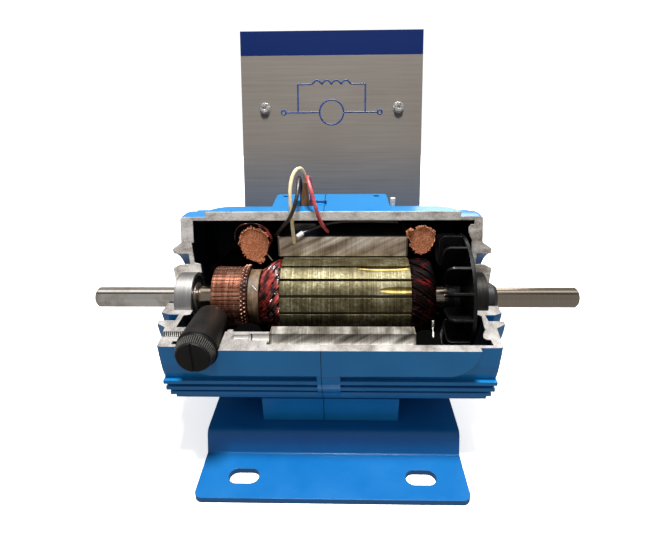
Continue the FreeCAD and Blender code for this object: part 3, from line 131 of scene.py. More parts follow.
class Finish:
    """One material, with a short way to add and join its nodes."""

    def __init__(self, name, roughness=0.5, metallic=0.0, **sockets):
        self.material = bpy.data.materials.new(name)
        self.material.use_nodes = True
        self.tree = self.material.node_tree
        self.shader = self.tree.nodes["Principled BSDF"]
        self.shader.inputs["Roughness"].default_value = roughness
        self.shader.inputs["Metallic"].default_value = metallic
        for socket, value in sockets.items():
            self.shader.inputs[socket.replace("_", " ")].default_value = value

    def node(self, kind, settings=None, inputs=None, output=0):
        """Adds a node of this kind, sets it up, joins its inputs and gives one output."""
        node = self.tree.nodes.new(kind)
        for name, value in (settings or {}).items():
            if name == "stops":
                ramp = node.color_ramp.elements
                while len(ramp) < len(value):
                    ramp.new(0.5)
                for stop, (place, colour) in zip(ramp, value):
                    stop.position = place
                    stop.color = (*colour, 1.0)
            else:
                setattr(node, name, value)
        for key, value in (inputs or {}).items():
            self.join(node.inputs[key], value)
        return Field(self, node.outputs[output])

    def join(self, socket, value):
        """Links a field to the socket, or sets the socket's own number or colour."""
        if isinstance(value, Field):
            self.tree.links.new(value.socket, socket)
        elif isinstance(value, tuple) and len(value) == 3 and len(socket.default_value) == 4:
            socket.default_value = (*value, 1.0)
        else:
            socket.default_value = value

    def wear(self, **sockets):
        """Gives the shader's sockets these fields or values."""
        for name, value in sockets.items():
            self.join(self.shader.inputs[name.replace("_", " ")], value)

    def maths(self, operation, *values):
        """A Math node with this operation on the values, in order."""
        return self.node("ShaderNodeMath", {"operation": operation}, dict(enumerate(values)))

    def place(self, scale=(1, 1, 1), turn=(0, 0, 0)):
        """The object's own coordinates, turned and then stretched."""
        spot = self.node("ShaderNodeTexCoord", output="Object")
        turned = self.node("ShaderNodeMapping", None, {"Vector": spot, "Rotation": turn})
        return self.node("ShaderNodeMapping", None, {"Vector": turned, "Scale": scale})

    def axes(self):
        """The X, Y and Z of a point of the surface, in metres."""
        spot = self.node("ShaderNodeTexCoord", output="Object")
        split = self.node("ShaderNodeSeparateXYZ", None, {0: spot}).socket.node
        return [Field(self, split.outputs[i]) for i in range(3)]

    def noise(self, scale, detail=3.0, rough=0.55, where=None, stretch=(1, 1, 1)):
        """Noise with about scale blobs to the metre, closer together where stretch is large."""
        return self.node("ShaderNodeTexNoise", None,
                         {"Vector": where or self.place(stretch), "Scale": scale,
                          "Detail": detail, "Roughness": rough})

    def cells(self, scale):
        """A grey value for each of the random cells, about scale of them to the metre."""
        tint = self.node("ShaderNodeTexVoronoi", {"feature": "F1"},
                         {"Vector": self.place(), "Scale": scale, "Randomness": 1.0}, "Color")
        return self.node("ShaderNodeRGBToBW", None, {0: tint})

    def ramp(self, value, *stops):
        """Carries value to a colour between stops, each a place and a colour."""
        return self.node("ShaderNodeValToRGB", {"stops": stops}, {0: value})

    def span(self, value, low, high, out_low=0.0, out_high=1.0):
        """Carries value from low..high to out_low..out_high and stops there."""
        return self.node("ShaderNodeMapRange", {"clamp": True},
                         {0: value, 1: low, 2: high, 3: out_low, 4: out_high})

    def blend(self, mask, first, second):
        """The colour first where mask is 0 and second where it is 1."""
        return self.node("ShaderNodeMix", {"data_type": "RGBA"},
                         {0: mask, 6: first, 7: second}, output=2)

    def bump(self, height, strength, distance, normal=None):
        """Normals that rise and fall with height, over distance in metres."""
        inputs = {"Height": height, "Strength": strength, "Distance": distance}
        if normal is not None:
            inputs["Normal"] = normal
        return self.node("ShaderNodeBump", None, inputs)

    def soft_edges(self, radius):
        """Normals that turn softly over each edge."""
        return self.node("ShaderNodeBevel", {"samples": 4}, {"Radius": radius})


def dress(finish, *names):
    """Gives CAD nodes this finish in place of their plain one."""
    for name in names:
        mesh = nodes[name].data
        mesh.materials.clear()
        mesh.materials.append(finish.material)


SHEET_BLUE = (0.0018, 0.105, 0.32)
SHEET_WORN = (0.003, 0.119, 0.345)
SHEET_SPECK = (0.35, 0.45, 0.55)
blue_sheet = Finish("blue_powder_coat", Specular_IOR_Level=0.3, Coat_Weight=0.15,
                    Coat_Roughness=0.16)
peel = blue_sheet.noise(700, 2)
dust = blue_sheet.noise(38, 5)
specks = blue_sheet.noise(1800, 2) > 0.74
blue_sheet.wear(
    Base_Color=blue_sheet.blend(specks * 0.25, blue_sheet.blend(
        blue_sheet.span(dust, 0.35, 0.7), SHEET_BLUE, SHEET_WORN), SHEET_SPECK),
    Roughness=blue_sheet.span(dust, 0.3, 0.7, 0.30, 0.42),
    Normal=blue_sheet.bump(peel, 0.12, 0.0005, blue_sheet.soft_edges(0.0009)),
)
dress(blue_sheet, "base_plate", "sign_bracket")

# ------------------------------------------
# Screws, washers, nuts and springs: bought steel pieces under bright zinc plate, turned or
# pushed into place. The small screw beside the terminal pad has a paler, chalky zinc.
def mottled(name, scale, detail, tones, stretch=(1, 1, 1), rough=None, bump=None, edges=None,
            **sockets):
    """A finish whose colour follows one noise through tones, with what else is given: its
    roughness between two values, a bump's strength and height, and a radius for the edges."""
    finish = Finish(name, **sockets)
    tone = finish.noise(scale, detail, stretch=stretch)
    finish.wear(Base_Color=finish.ramp(tone, *tones))
    if rough:
        finish.wear(Roughness=finish.span(tone, 0.3, 0.7, *rough))
    normal = finish.soft_edges(edges) if edges else None
    if bump:
        normal = finish.bump(tone, *bump, normal)
    if normal is not None:
        finish.wear(Normal=normal)
    return finish


zinc = mottled("zinc_plate", 700, 4, ((0.3, (0.30, 0.29, 0.275)), (0.7, (0.68, 0.665, 0.64))),
               rough=(0.25, 0.45), bump=(0.12, 0.0002), edges=0.0003, metallic=1.0)
dress(zinc, "base_screws", "stator_bolt", "sign_screws", "sign_washers", "sign_nuts",
      "bracket_screws", "preload_washer", "brush_spring_front", "brush_spring_rear")

pale_zinc = mottled("pale_zinc", 900, 3, ((0.35, (0.42, 0.40, 0.36)), (0.6, (0.86, 0.84, 0.80))),
                    metallic=0.15)
dress(pale_zinc, "side_screw")

# ------------------------------------------
# Housing: two aluminium die castings, painted gloss blue inside and out; the dark navy colour of
# the inside is painted shade. The saw cut through the upper front leaves speckled bare metal on
# its two planes and in the bolt bores that it opens; a few smeared saw marks run across the cut.
AXIS_Z = 89 * MM
CUT_Y = 10.85 * MM
NEAR = 0.02 * MM
SEAM_X, SEAM_HALF = -6.0 * MM, 0.22 * MM
SEAM_DARK = (0.001, 0.004, 0.012)
PAINT_BLUE = (0.004, 0.150, 0.385)
PAINT_PALE = (0.007, 0.172, 0.425)
INSIDE_SHADE = (0.002, 0.0045, 0.011)
LIT_UPRIGHT_CUT = ((0.37, (0.27, 0.22, 0.18)), (0.46, (0.68, 0.62, 0.56)), (0.55, (0.98, 0.96, 0.93)))
BORE_SHADE = ((0.35, (0.20, 0.19, 0.175)), (0.50, (0.36, 0.345, 0.325)),
              (0.65, (0.50, 0.485, 0.46)))
BORE_STEP_SHADE, BOLT_STEP, STEP_HALF = (0.02, 0.018, 0.016), -48.6 * MM, 0.45 * MM
SHADED_LEVEL_CUT = ((0.38, (0.085, 0.072, 0.062)), (0.46, (0.27, 0.25, 0.23)), (0.57, (0.50, 0.48, 0.465)))
DULL_END, DULLING = (30 * MM, 95 * MM), 0.055
CORNER_Y, CORNER_Z, INSIDE_R = 16.1 * MM, 12.4 * MM, 41.0 * MM
END_WALLS = (-100.5 * MM, 96.4 * MM)
BOLT_LINE, BOLT_REACH, BOLT_X = 48.3 * MM, 3.9 * MM, (-68 * MM, -36 * MM)
TAP_LINE, TAP_REACH, TAP_X = 45.5 * MM, 3.1 * MM, -86 * MM


def cut_mask(y, z):
    """1 on the two saw cuts, 0 elsewhere."""
    return (abs(y - CUT_Y) < NEAR) | ((abs(z - AXIS_Z) < NEAR) & (y < CUT_Y + NEAR))


def square(value):
    """Value times itself, also where it is negative."""
    return value * value


def outside(value, edge):
    """How far value is beyond edge on either side, and 0 between the two edges."""
    return (abs(value) - edge) | 0.0


casting = Finish("painted_casting", Specular_IOR_Level=0.3, Coat_Roughness=0.14)
x, y, z = casting.axes()
height = z - AXIS_Z
bolt = ((square(abs(y) - BOLT_LINE) + square(height)) < BOLT_REACH ** 2) & (
    (x > BOLT_X[0]) & (x < BOLT_X[1]))
tap = ((square(abs(y) - TAP_LINE) + square(height)) < TAP_REACH ** 2) & (x < TAP_X)
bare = cut_mask(y, z) | bolt | tap
within = ((square(outside(y, CORNER_Y)) + square(outside(height, CORNER_Z))) < INSIDE_R ** 2) & (
    (x > END_WALLS[0]) & (x < END_WALLS[1]))
peel = casting.noise(600, 2)
patches = casting.noise(30, 4)
paint = casting.blend(casting.span(patches, 0.35, 0.7), PAINT_BLUE, PAINT_PALE)
# The inside is coloured near-black navy: painted shade.
paint = casting.blend(within, paint, INSIDE_SHADE)
paint = casting.blend(abs(x - SEAM_X) < SEAM_HALF, paint, SEAM_DARK)
pits = casting.noise(2100, 4, 0.8)
smears = casting.noise(90, 5, 0.65, stretch=(1, 0.5, 2.0))
rough_cut = pits * 0.55 + smears * 0.45
dull = casting.span(x, *DULL_END)
# The upright cut gets a brighter copy of the bare metal and the level cut a darker one: painted
# light on the one and painted shade on the other.
upright = casting.ramp(rough_cut - dull * DULLING, *LIT_UPRIGHT_CUT)
sawn = casting.blend(y > CUT_Y - NEAR, casting.ramp(rough_cut, *SHADED_LEVEL_CUT), upright)
bore = casting.ramp(rough_cut, *BORE_SHADE)
# A dark line across the bore at its step is painted shade in that corner.
bore = casting.blend(abs(x - BOLT_STEP) < STEP_HALF, bore, BORE_STEP_SHADE)
sawn = casting.blend(bolt & (height < -NEAR), sawn, bore)
casting.wear(
    Base_Color=casting.blend(bare, paint, sawn),
    Metallic=bare * 0.55,
    Roughness=casting.span(bare, 0, 1, casting.span(within, 0, 1, 0.3, 0.5), 0.6),
    Coat_Weight=(1 - bare) * (1 - within) * 0.25,
    Normal=casting.bump(bare * pits * 0.8 + (1 - bare) * peel * 0.12, 0.55, 0.0004,
                        casting.soft_edges(0.0008)),
)
dress(casting, "housing_left", "housing_right")


def put_in(name, body, finish, grids, closed=True, ends=True):
    """Adds a piece made of grids of points in millimetres, shape (parts, rows, columns, 3).

    A face joins points (i, j), (i, j + 1), (i + 1, j + 1) and (i + 1, j). A closed grid also
    joins its last column to its first and, with ends, has a face over each end row."""
    grids = np.asarray(grids, float)
    parts, rows, columns, _ = grids.shape
    index = np.arange(parts * rows * columns).reshape(parts, rows, columns)
    here = index if closed else index[:, :, :-1]
    after = np.roll(index, -1, axis=2) if closed else index[:, :, 1:]
    quads = np.stack([here[:, :-1], after[:, :-1], after[:, 1:], here[:, 1:]], -1)
    faces = quads.reshape(-1, 4).tolist()
    if closed and ends:
        faces += index[:, 0, ::-1].tolist() + index[:, -1].tolist()
    mesh = bpy.data.meshes.new(name)
    mesh.from_pydata((grids.reshape(-1, 3) * MM).tolist(), [], faces)
    if closed:
        shell = bmesh.new()
        shell.from_mesh(mesh)
        bmesh.ops.recalc_face_normals(shell, faces=shell.faces)
        shell.to_mesh(mesh)
        shell.free()
    mesh.shade_smooth()
    mesh.materials.append(finish.material)
    piece = bpy.data.objects.new(name, mesh)
    bpy.context.collection.objects.link(piece)
    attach(piece, body)
    return piece


# Thread in the tapped hole that the level cut opens at the left end wall: a half tube whose
# radius is r = top - depth * (1 + cos(2 pi x / pitch + a)) / 2 at distance x and angle a.
THREAD_Y, THREAD_TOP, THREAD_DEPTH, THREAD_PITCH = -45.5, 2.93, 0.62, 1.25
THREAD_ENDS, THREAD_RIM, THREAD_LEAN = (-102.9, -88.7), 0.02, 0.35
along, angle = np.meshgrid(np.linspace(*THREAD_ENDS, 180),
                           np.linspace(THREAD_RIM, math.pi - THREAD_RIM, 17), indexing="ij")
radius = THREAD_TOP - THREAD_DEPTH * (1 + np.cos(2 * math.pi * along / THREAD_PITCH + angle)) / 2
thread = np.stack([along, THREAD_Y + radius * np.cos(angle),
                   AXIS_Z / MM - radius * np.sin(angle)], -1)
tapped = Finish("tapped_metal", metallic=0.6, roughness=0.45)
grit = tapped.noise(1500, 4)
x, y = tapped.axes()[:2]
# The colour follows the thread's turns, dark in the grooves and pale on the crests: painted shade
# and painted highlight.
turns = tapped.maths("COSINE", x * (2 * math.pi / (THREAD_PITCH * MM))
                     + y * (THREAD_LEAN / MM))
THREAD_SHADE_TONES = ((0.3, (0.010, 0.009, 0.008)), (0.5, (0.16, 0.145, 0.13)),
                (0.75, (0.62, 0.59, 0.56)))
tapped.wear(Base_Color=tapped.ramp(turns * 0.4 + grit * 0.4 + 0.3, *THREAD_SHADE_TONES),
            Roughness=tapped.span(grit, 0.3, 0.7, 0.35, 0.6))
put_in("tapped_thread", "frame", tapped, thread[None], closed=False)

# ------------------------------------------
# Stator stack: punched sheets of electrical steel, clamped in a pack. Sawn faces and the channel
# in front are bright with slanting saw marks and a fine line for each sheet; the rest is nearly
# black. The upright cut gets a brighter copy of the sawn steel than the level cut and the channel:
# painted light on the one, painted shade on the others.
CHANNEL_Y = -40 * MM
LIT_SAWN_TONES = ((0.38, (0.20, 0.145, 0.10)), (0.47, (0.52, 0.41, 0.31)), (0.54, (0.74, 0.63, 0.52)),
              (0.62, (1.0, 0.97, 0.92)))
SHADED_LEVEL_TONES = ((0.36, (0.05, 0.044, 0.034)), (0.47, (0.16, 0.145, 0.12)),
               (0.54, (0.27, 0.25, 0.22)), (0.66, (0.6, 0.58, 0.54)))
NEARLY_BLACK_TONES = ((0.3, (0.004, 0.0035, 0.003)), (0.7, (0.016, 0.013, 0.010)))
MARKS_RISE = math.radians(27)
stack = Finish("stator_sheets", metallic=0.55, roughness=0.5)
y, z = stack.axes()[1:]
bright = cut_mask(y, z) | (y < CHANNEL_Y)
sheets = stack.noise(1.0, 2, stretch=(3300, 6, 6))
swing = stack.place(scale=(16, 60, 330), turn=(0, MARKS_RISE, 0))
marks = stack.noise(1.0, 4, 0.6, where=swing)
blots = stack.noise(60, 4)
streaks = sheets * 0.22 + marks * 0.5 + blots * 0.28
# The level cut and the channel take the darker tones and the upright cut the brighter: painted
# shade and painted light.
sawn = stack.blend(y > CUT_Y - NEAR, stack.ramp(streaks, *SHADED_LEVEL_TONES),
                   stack.ramp(streaks, *LIT_SAWN_TONES))
stack.wear(
    Base_Color=stack.blend(bright, stack.ramp(blots, *NEARLY_BLACK_TONES), sawn),
    Metallic=bright * 0.6,
    Roughness=stack.span(marks, 0.3, 0.7, 0.4, 0.62),
    Normal=stack.bump(sheets * 0.6 + marks * 0.5, 0.4, 0.0003),
)
dress(stack, "stator_core")

# End plates of grey pressboard and the strip of brown hard board, cut from sheet.
board = mottled("pressboard", 500, 5, ((0.3, (0.05, 0.04, 0.028)), (0.7, (0.16, 0.13, 0.09))),
                bump=(0.3, 0.0002), roughness=0.75)
dress(board, "stator_end_plate_left", "stator_end_plate_right")
brown_board = mottled("brown_board", 400, 4, ((0.3, (0.13, 0.045, 0.012)),
                                              (0.7, (0.42, 0.19, 0.06))),
                      stretch=(1, 1, 0.2), bump=(0.2, 0.0002), roughness=0.55)
dress(brown_board, "insulating_strip")

# ------------------------------------------
# Field coils: many turns of copper wire under black lacquered tape. The saw left the wire
# ends of the upper coil as two fuzzy copper discs, with stray ends round their edges.
tape = Finish("coil_tape", Specular_IOR_Level=0.015)
wraps = tape.noise(1.0, 3, stretch=(150, 150, 900))
soot = tape.noise(220, 4)
tape.wear(
    Base_Color=tape.ramp(soot, (0.35, (0.0003, 0.0003, 0.0003)), (0.8, (0.0018, 0.0014, 0.0013))),
    Roughness=tape.span(soot, 0.3, 0.7, 0.6, 0.85),
    Normal=tape.bump(wraps, 0.5, 0.0006),
)
dress(tape, "field_coil_upper", "field_coil_lower")

cut_copper = Finish("cut_copper", metallic=0.35, roughness=0.5)
shade = cut_copper.cells(1400)
cut_copper.wear(
    Base_Color=cut_copper.ramp(shade, (0.15, (0.40, 0.125, 0.05)), (0.5, (0.56, 0.20, 0.088)),
                               (0.9, (0.78, 0.35, 0.19))),
    Roughness=cut_copper.span(shade, 0.2, 0.8, 0.35, 0.6),
)
WIRE_PITCH, WIRE_R, WIRE_SIDES, WIRE_DEPTH = 0.62, 0.335, 6, 2.6
ROW_STEP, ROWS_EACH_WAY = 0.866, 30
RAGGED, WIDER_ABOVE, FRAY_FROM = 0.045, 0.14, 0.85
random = np.random.default_rng(4)


def even_turn(count):
    """Count angles in even steps round a circle."""
    return np.arange(count) * 2 * math.pi / count


def wire_ends(name, middle, half_x, half_z, lobe):
    """Cut wire ends in a six-way pattern; one at (u, v) is kept where u and v, over the half
    sizes, lie within a ragged unit circle, or within the lobe (u, v, radius) beside it.

    The circle is a little wider above, and the ends near its rim are bent and stand out."""
    steps = np.arange(-ROWS_EACH_WAY, ROWS_EACH_WAY + 1)
    u, v = np.meshgrid(steps * WIRE_PITCH, steps * WIRE_PITCH * ROW_STEP)
    u = u + (np.arange(steps.size)[:, None] % 2) * WIRE_PITCH / 2
    u, v = u.ravel(), v.ravel()
    ragged = 1 + random.normal(0, RAGGED, u.size)
    reach = np.hypot(u / (half_x * (1 + WIDER_ABOVE * v / half_z)), v / half_z)
    beside = np.hypot(u - lobe[0], v - lobe[1]) / lobe[2]
    kept = (reach < ragged) | (beside < ragged)
    u, v, reach = u[kept], v[kept], reach[kept]
    fray = np.clip(reach - FRAY_FROM, 0, 0.3) * 6
    bend = 0.05 + 0.12 * fray
    count = u.size
    u = u + random.normal(0, bend, count)
    v = v + random.normal(0, bend, count)
    front = CUT_Y / MM - random.uniform(0.05, 0.10 + 0.7 * fray, count)
    depth = np.stack([front, front + WIRE_DEPTH], -1)[:, :, None]
    angle = even_turn(WIRE_SIDES)
    rings = np.broadcast_to(depth, (count, 2, WIRE_SIDES))
    across = middle[0] + u[:, None, None] + WIRE_R * np.cos(angle) + 0 * rings
    above = middle[1] + v[:, None, None] + WIRE_R * np.sin(angle) + 0 * rings
    put_in(name, "frame", cut_copper, np.stack([across, rings, above], -1))


wire_ends("wire_ends_left", (-53.9, 123.7), 9.7, 12.4, (3.0, -10.5, 3.2))
wire_ends("wire_ends_right", (60.0, 127.0), 8.2, 10.0, (-7.8, 4.4, 3.6))

# ------------------------------------------
# Bearings: bought ball bearings, pushed on the shaft and into the housing. The left one's
# rings are clean ground steel and the right one's dark with old oil; their rubber seals are
# black, and so is the collar on the shaft.
CLEAN_TONES = ((0.3, (0.29, 0.28, 0.27)), (0.7, (0.36, 0.35, 0.34)))
OILY_TONES = ((0.3, (0.018, 0.017, 0.015)), (0.7, (0.045, 0.042, 0.038)))
for tag, tones, names in (
        ("clean", CLEAN_TONES, ("bearing_outer_left", "bearing_inner_left", "bearing_balls_left",
                                "bearing_cage_left", "bearing_balls_right",
                                "bearing_cage_right")),
        ("oily", OILY_TONES, ("bearing_outer_right", "bearing_inner_right"))):
    ring_steel = mottled("bearing_steel_" + tag, 1.0, 2, tones, stretch=(1500, 30, 30),
                         rough=(0.38, 0.5), edges=0.0005, metallic=1.0)
    dress(ring_steel, *names)
seal = mottled("seal_rubber", 900, 3, ((0.3, (0.004, 0.004, 0.004)), (0.8, (0.016, 0.015, 0.015))),
               bump=(0.1, 0.0002), edges=0.0006, roughness=0.45)
dress(seal, "bearing_seal_left", "bearing_seal_right", "shaft_collar")

# ------------------------------------------
# Shaft: turned and ground steel with fine marks round it and light brown smudges. The stub
# at the left end is bright and the rest is darker.
STUB_X = -98 * MM
STUB_TONES = ((0.3, (0.62, 0.58, 0.53)), (0.7, (0.72, 0.68, 0.63)))
INNER_TONES = ((0.3, (0.28, 0.235, 0.185)), (0.7, (0.37, 0.315, 0.255)))
SMUDGE_BROWN = (0.34, 0.26, 0.20)
shaft_steel = Finish("ground_steel", metallic=1.0)
rings = shaft_steel.noise(1.0, 3, stretch=(2600, 12, 12))
smudge = shaft_steel.noise(45, 4)
x = shaft_steel.axes()[0]
steel = shaft_steel.blend(x > STUB_X, shaft_steel.ramp(rings, *STUB_TONES),
                          shaft_steel.ramp(rings, *INNER_TONES))
shaft_steel.wear(
    Base_Color=shaft_steel.blend(shaft_steel.span(smudge, 0.45, 0.7), steel, SMUDGE_BROWN),
    Roughness=shaft_steel.span(smudge, 0.3, 0.7, 0.12, 0.24),
    Normal=shaft_steel.bump(rings, 0.03, 0.0001, shaft_steel.soft_edges(0.0005)),
)
dress(shaft_steel, "shaft")

# ------------------------------------------
# Armature core: punched sheets pressed on the shaft and turned round, under greenish gold
# varnish, with a fine line for each sheet and blotches of bare metal. The milled cuts that
# balance it show plain gold, and the wedges in its slots are nearly black.
BALANCE_R, BALANCE_X = 27.45 * MM, 8 * MM
TURNED_TONES = ((0.37, (0.012, 0.008, 0.003)), (0.45, (0.045, 0.035, 0.013)),
                (0.53, (0.105, 0.090, 0.042)), (0.64, (0.34, 0.32, 0.225)))
MILLED_TONES = ((0.38, (0.09, 0.06, 0.008)), (0.6, (0.42, 0.33, 0.09)))
core = Finish("armature_sheets", metallic=0.7)
x, y, z = core.axes()
milled = ((square(y) + square(z - AXIS_Z)) < BALANCE_R ** 2) & (x > BALANCE_X)
sheets = core.noise(1.0, 3, 0.7, stretch=(2900, 14, 14))
cloud = core.noise(60, 5, 0.6)
flecks = core.noise(520, 4, 0.75)
turned = core.ramp(sheets * 0.34 + cloud * 0.40 + flecks * 0.26, *TURNED_TONES)
gold = core.ramp(cloud * 0.5 + sheets * 0.5, *MILLED_TONES)
core.wear(
    Base_Color=core.blend(milled, turned, gold),
    Roughness=core.span(cloud, 0.3, 0.7, 0.42, 0.58),
    Normal=core.bump(sheets * 0.7 + flecks * 0.3, 0.3, 0.0002, core.soft_edges(0.0005)),
)
dress(core, "armature_core")
wedge = mottled("wedge_board", 300, 4, ((0.3, (0.010, 0.006, 0.003)), (0.7, (0.06, 0.035, 0.014))),
                stretch=(0.1, 1, 1), roughness=0.55)
dress(wedge, "slot_wedges")

# ------------------------------------------
# End windings: lacquered wire in sixteen bundles that cross a second layer under them. The
# left end is bright red and glossy, the right end nearly black with a little red showing.
# Places along the shaft count from the motor's own middle, which stands at MOTOR_X.
MOTOR_X = -1.6 * MM
TUBE_SIDES, WIRE_STEPS = 6, 24
NEARLY_Y = (0.1, 1.0, 0.05)


def unit(arrows):
    """Each arrow over its own length."""
    return arrows / np.linalg.norm(arrows, axis=-1, keepdims=True)


def tube(path, out, side, thick):
    """A ring round each point of the path: path + thick * (cos(a) * out + sin(a) * side)."""
    angle = even_turn(TUBE_SIDES)[:, None]
    ring = np.cos(angle) * out[..., None, :] + np.sin(angle) * side[..., None, :]
    return path[..., None, :] + thick * ring


def strands(x, r, turn, thick):
    """Round tubes along x(t), r(t) and turn(t), the angle round the shaft from +Z toward -Y.

    out = (-r', -x' sin(turn), x' cos(turn)) / |(x', r')| points away from the winding."""
    path = np.stack([x, -r * np.sin(turn), r * np.cos(turn)], -1)
    run, rise = np.gradient(x, axis=-1), np.gradient(r, axis=-1)
    size = np.hypot(run, rise)
    out = np.stack([-rise / size, -np.sin(turn) * run / size, np.cos(turn) * run / size], -1)
    side = unit(np.cross(out, np.gradient(path, axis=-2)))
    return tube(path, out, side, thick) + (MOTOR_X / MM, 0, AXIS_Z / MM)


def free_wire(points, thick):
    """A round tube along the polynomial that passes through all these points.

    side = ahead x Y and out = side x ahead, so out lies as near Y as the path lets it."""
    points = np.asarray(points, float)
    knots = np.linspace(0, 1, len(points))
    t = np.linspace(0, 1, WIRE_STEPS)
    path = np.stack([np.polyval(np.polyfit(knots, line, len(points) - 1), t)
                     for line in points.T], -1)
    ahead = np.gradient(path, axis=0)
    side = unit(np.cross(ahead, NEARLY_Y))
    return tube(path, unit(np.cross(side, ahead)), side, thick)


white_thread = mottled("white_thread", 900, 3, ((0.3, (0.46, 0.43, 0.38)),
                                                (0.7, (0.74, 0.71, 0.66))), roughness=0.7)
SLOTS, FIRST_SLOT = 16, 14.8
SLOT_ANGLES = np.radians(FIRST_SLOT + 360 / SLOTS * np.arange(SLOTS))
WIRES_EACH = 8
LAYERS = ((0.0, 1.0), (1.1, -0.8))
WOBBLE = 2.5
wire_t = np.linspace(0, 1, 14)
fan_out = np.tile(np.linspace(-1, 1, WIRES_EACH), SLOT_ANGLES.size)
start = np.repeat(SLOT_ANGLES, WIRES_EACH)


def end_winding(name, finish, profile, slant, spread, thick):
    """Two crossing layers of wires from the slots over the profile x(t), r(t).

    Each layer has its depth under the profile and its share of the slant, in degrees; a wire
    turns by that over t, a bundle fans out by spread, and each wire wobbles a little."""
    layers = []
    for sink, share in LAYERS:
        x, r = profile(wire_t)
        wobble = random.normal(0, 1, (start.size, 3))
        lift = -sink + 0.28 * wobble[:, :1] + 0.45 * np.cos(fan_out * 1.5)[:, None]
        turn = (start[:, None] + math.radians(spread) * fan_out[:, None] * (0.7 + 0.5 * wire_t)
                + math.radians(slant * share) * wire_t
                + math.radians(WOBBLE) * wobble[:, 1:2] * wire_t)
        layers.append(strands(np.broadcast_to(x, turn.shape), r + lift, turn, thick))
    put_in(name, "rotor", finish, np.concatenate(layers))


def left_profile(t):
    """From the core's face down to the neck beside the binding band."""
    ease = t * t * (3 - 2 * t)
    return -32.6 - 14.0 * t, 25.0 - 7.2 * ease + 1.5 * np.sin(math.pi * t)


def right_profile(t):
    """From the core's face outward, then down over the end."""
    return 51.9 + 16.8 * np.sin(math.pi / 2 * t) ** 0.9, 10.5 + 15.2 * (1 - t ** 4.5)


RED_TONES = ((0.42, (0.005, 0.0008, 0.0006)), (0.52, (0.085, 0.005, 0.004)),
             (0.66, (0.36, 0.035, 0.025)))
red_wire = mottled("lacquered_wire_red", 230, 4, RED_TONES, rough=(0.22, 0.4), Coat_Weight=0.7,
                   Coat_Roughness=0.1)
end_winding("left_end_wires", red_wire, left_profile, 42, 8.0, 0.52)

# A white tie thread that hangs from the right end winding on to the lower coil: two thick
# pieces with a thin one between them, each with its radius.
TIES = ((0.72, ((63.9, -27.0, 87.1), (64.1, -27.2, 84.9), (64.2, -27.0, 82.6))),
        (0.30, ((64.2, -27.2, 82.8), (64.0, -29.2, 82.4), (63.7, -31.2, 81.6))),
        (0.55, ((63.8, -31.4, 81.5), (63.5, -33.6, 80.9), (63.1, -35.6, 80.3))))
# Stray red wires that the saw left round the upper coil's left end, and a bare grey one that
# hangs from it to the winding.
STRAYS = (
    ((-66.5, 11.0, 127.5), (-66.0, 11.4, 133.0), (-62.5, 11.0, 137.6), (-57.0, 11.5, 138.6)),
    ((-62.5, 11.2, 137.0), (-56.0, 11.6, 139.0), (-49.0, 11.4, 138.0), (-43.5, 11.8, 133.5)),
    ((-50.0, 11.0, 137.0), (-45.2, 11.5, 134.5), (-42.0, 11.2, 130.0), (-41.5, 11.8, 126.0)),
    ((-44.5, 11.3, 132.5), (-42.6, 10.8, 129.5), (-42.2, 11.2, 126.5), (-43.4, 11.4, 123.5)),
)
BARE = ((-45.6, 11.6, 116.6), (-44.4, 10.9, 115.1), (-43.2, 10.2, 113.7), (-42.0, 9.6, 112.4))
STRAY_R, BARE_R = 0.3, 0.42
put_in("stray_wires", "frame", red_wire, np.stack([free_wire(wire, STRAY_R) for wire in STRAYS]))
put_in("tie_threads", "frame", white_thread,
       np.stack([free_wire(tie, thick) for thick, tie in TIES]))
put_in("bare_wire", "frame", board, free_wire(BARE, BARE_R)[None])
DARK_TONES = ((0.44, (0.0012, 0.0007, 0.0007)), (0.58, (0.010, 0.0012, 0.0012)),
              (0.72, (0.12, 0.006, 0.007)))
dark_wire = mottled("lacquered_wire_dark", 150, 4, DARK_TONES, rough=(0.4, 0.55),
                    Specular_IOR_Level=0.05)
end_winding("right_end_wires", dark_wire, right_profile, 34, 9.0, 0.52)
varnish = mottled("winding_varnish", 300, 4, ((0.3, (0.002, 0.0008, 0.0008)),
                                              (0.75, (0.014, 0.002, 0.002))),
                  bump=(0.6, 0.0005), roughness=0.7, Specular_IOR_Level=0.05)
dress(varnish, "armature_winding")

# ------------------------------------------
# Commutator: copper bars with dark gaps and turned rings, and at their right end the risers
# with two staggered rows of solder joints. Beside it the binding band of brown tape, with a
# loose white thread end.
RISER_X = -58.6
BARS = 48
BAR_TONES = ((0.34, (0.10, 0.028, 0.016)), (0.48, (0.36, 0.135, 0.08)),
             (0.62, (0.78, 0.44, 0.32)))
RISER_TONES = ((0.4, (0.012, 0.005, 0.003)), (0.7, (0.16, 0.05, 0.03)))
bars = Finish("commutator_copper")
x = bars.axes()[0]
riser = x > (RISER_X * MM + MOTOR_X)
rings = bars.noise(1.0, 2, stretch=(1300, 30, 30))
tone = bars.noise(1.0, 4, 0.7, stretch=(25, 330, 330))
bars.wear(
    Base_Color=bars.blend(riser, bars.ramp(rings * 0.2 + tone * 0.8, *BAR_TONES),
                          bars.ramp(tone, *RISER_TONES)),
    Metallic=bars.span(riser, 0, 1, 0.85, 0.4),
    Roughness=bars.span(rings, 0.3, 0.7, 0.2, 0.3),
    Normal=bars.soft_edges(0.0003),
)
dress(bars, "commutator_bars")

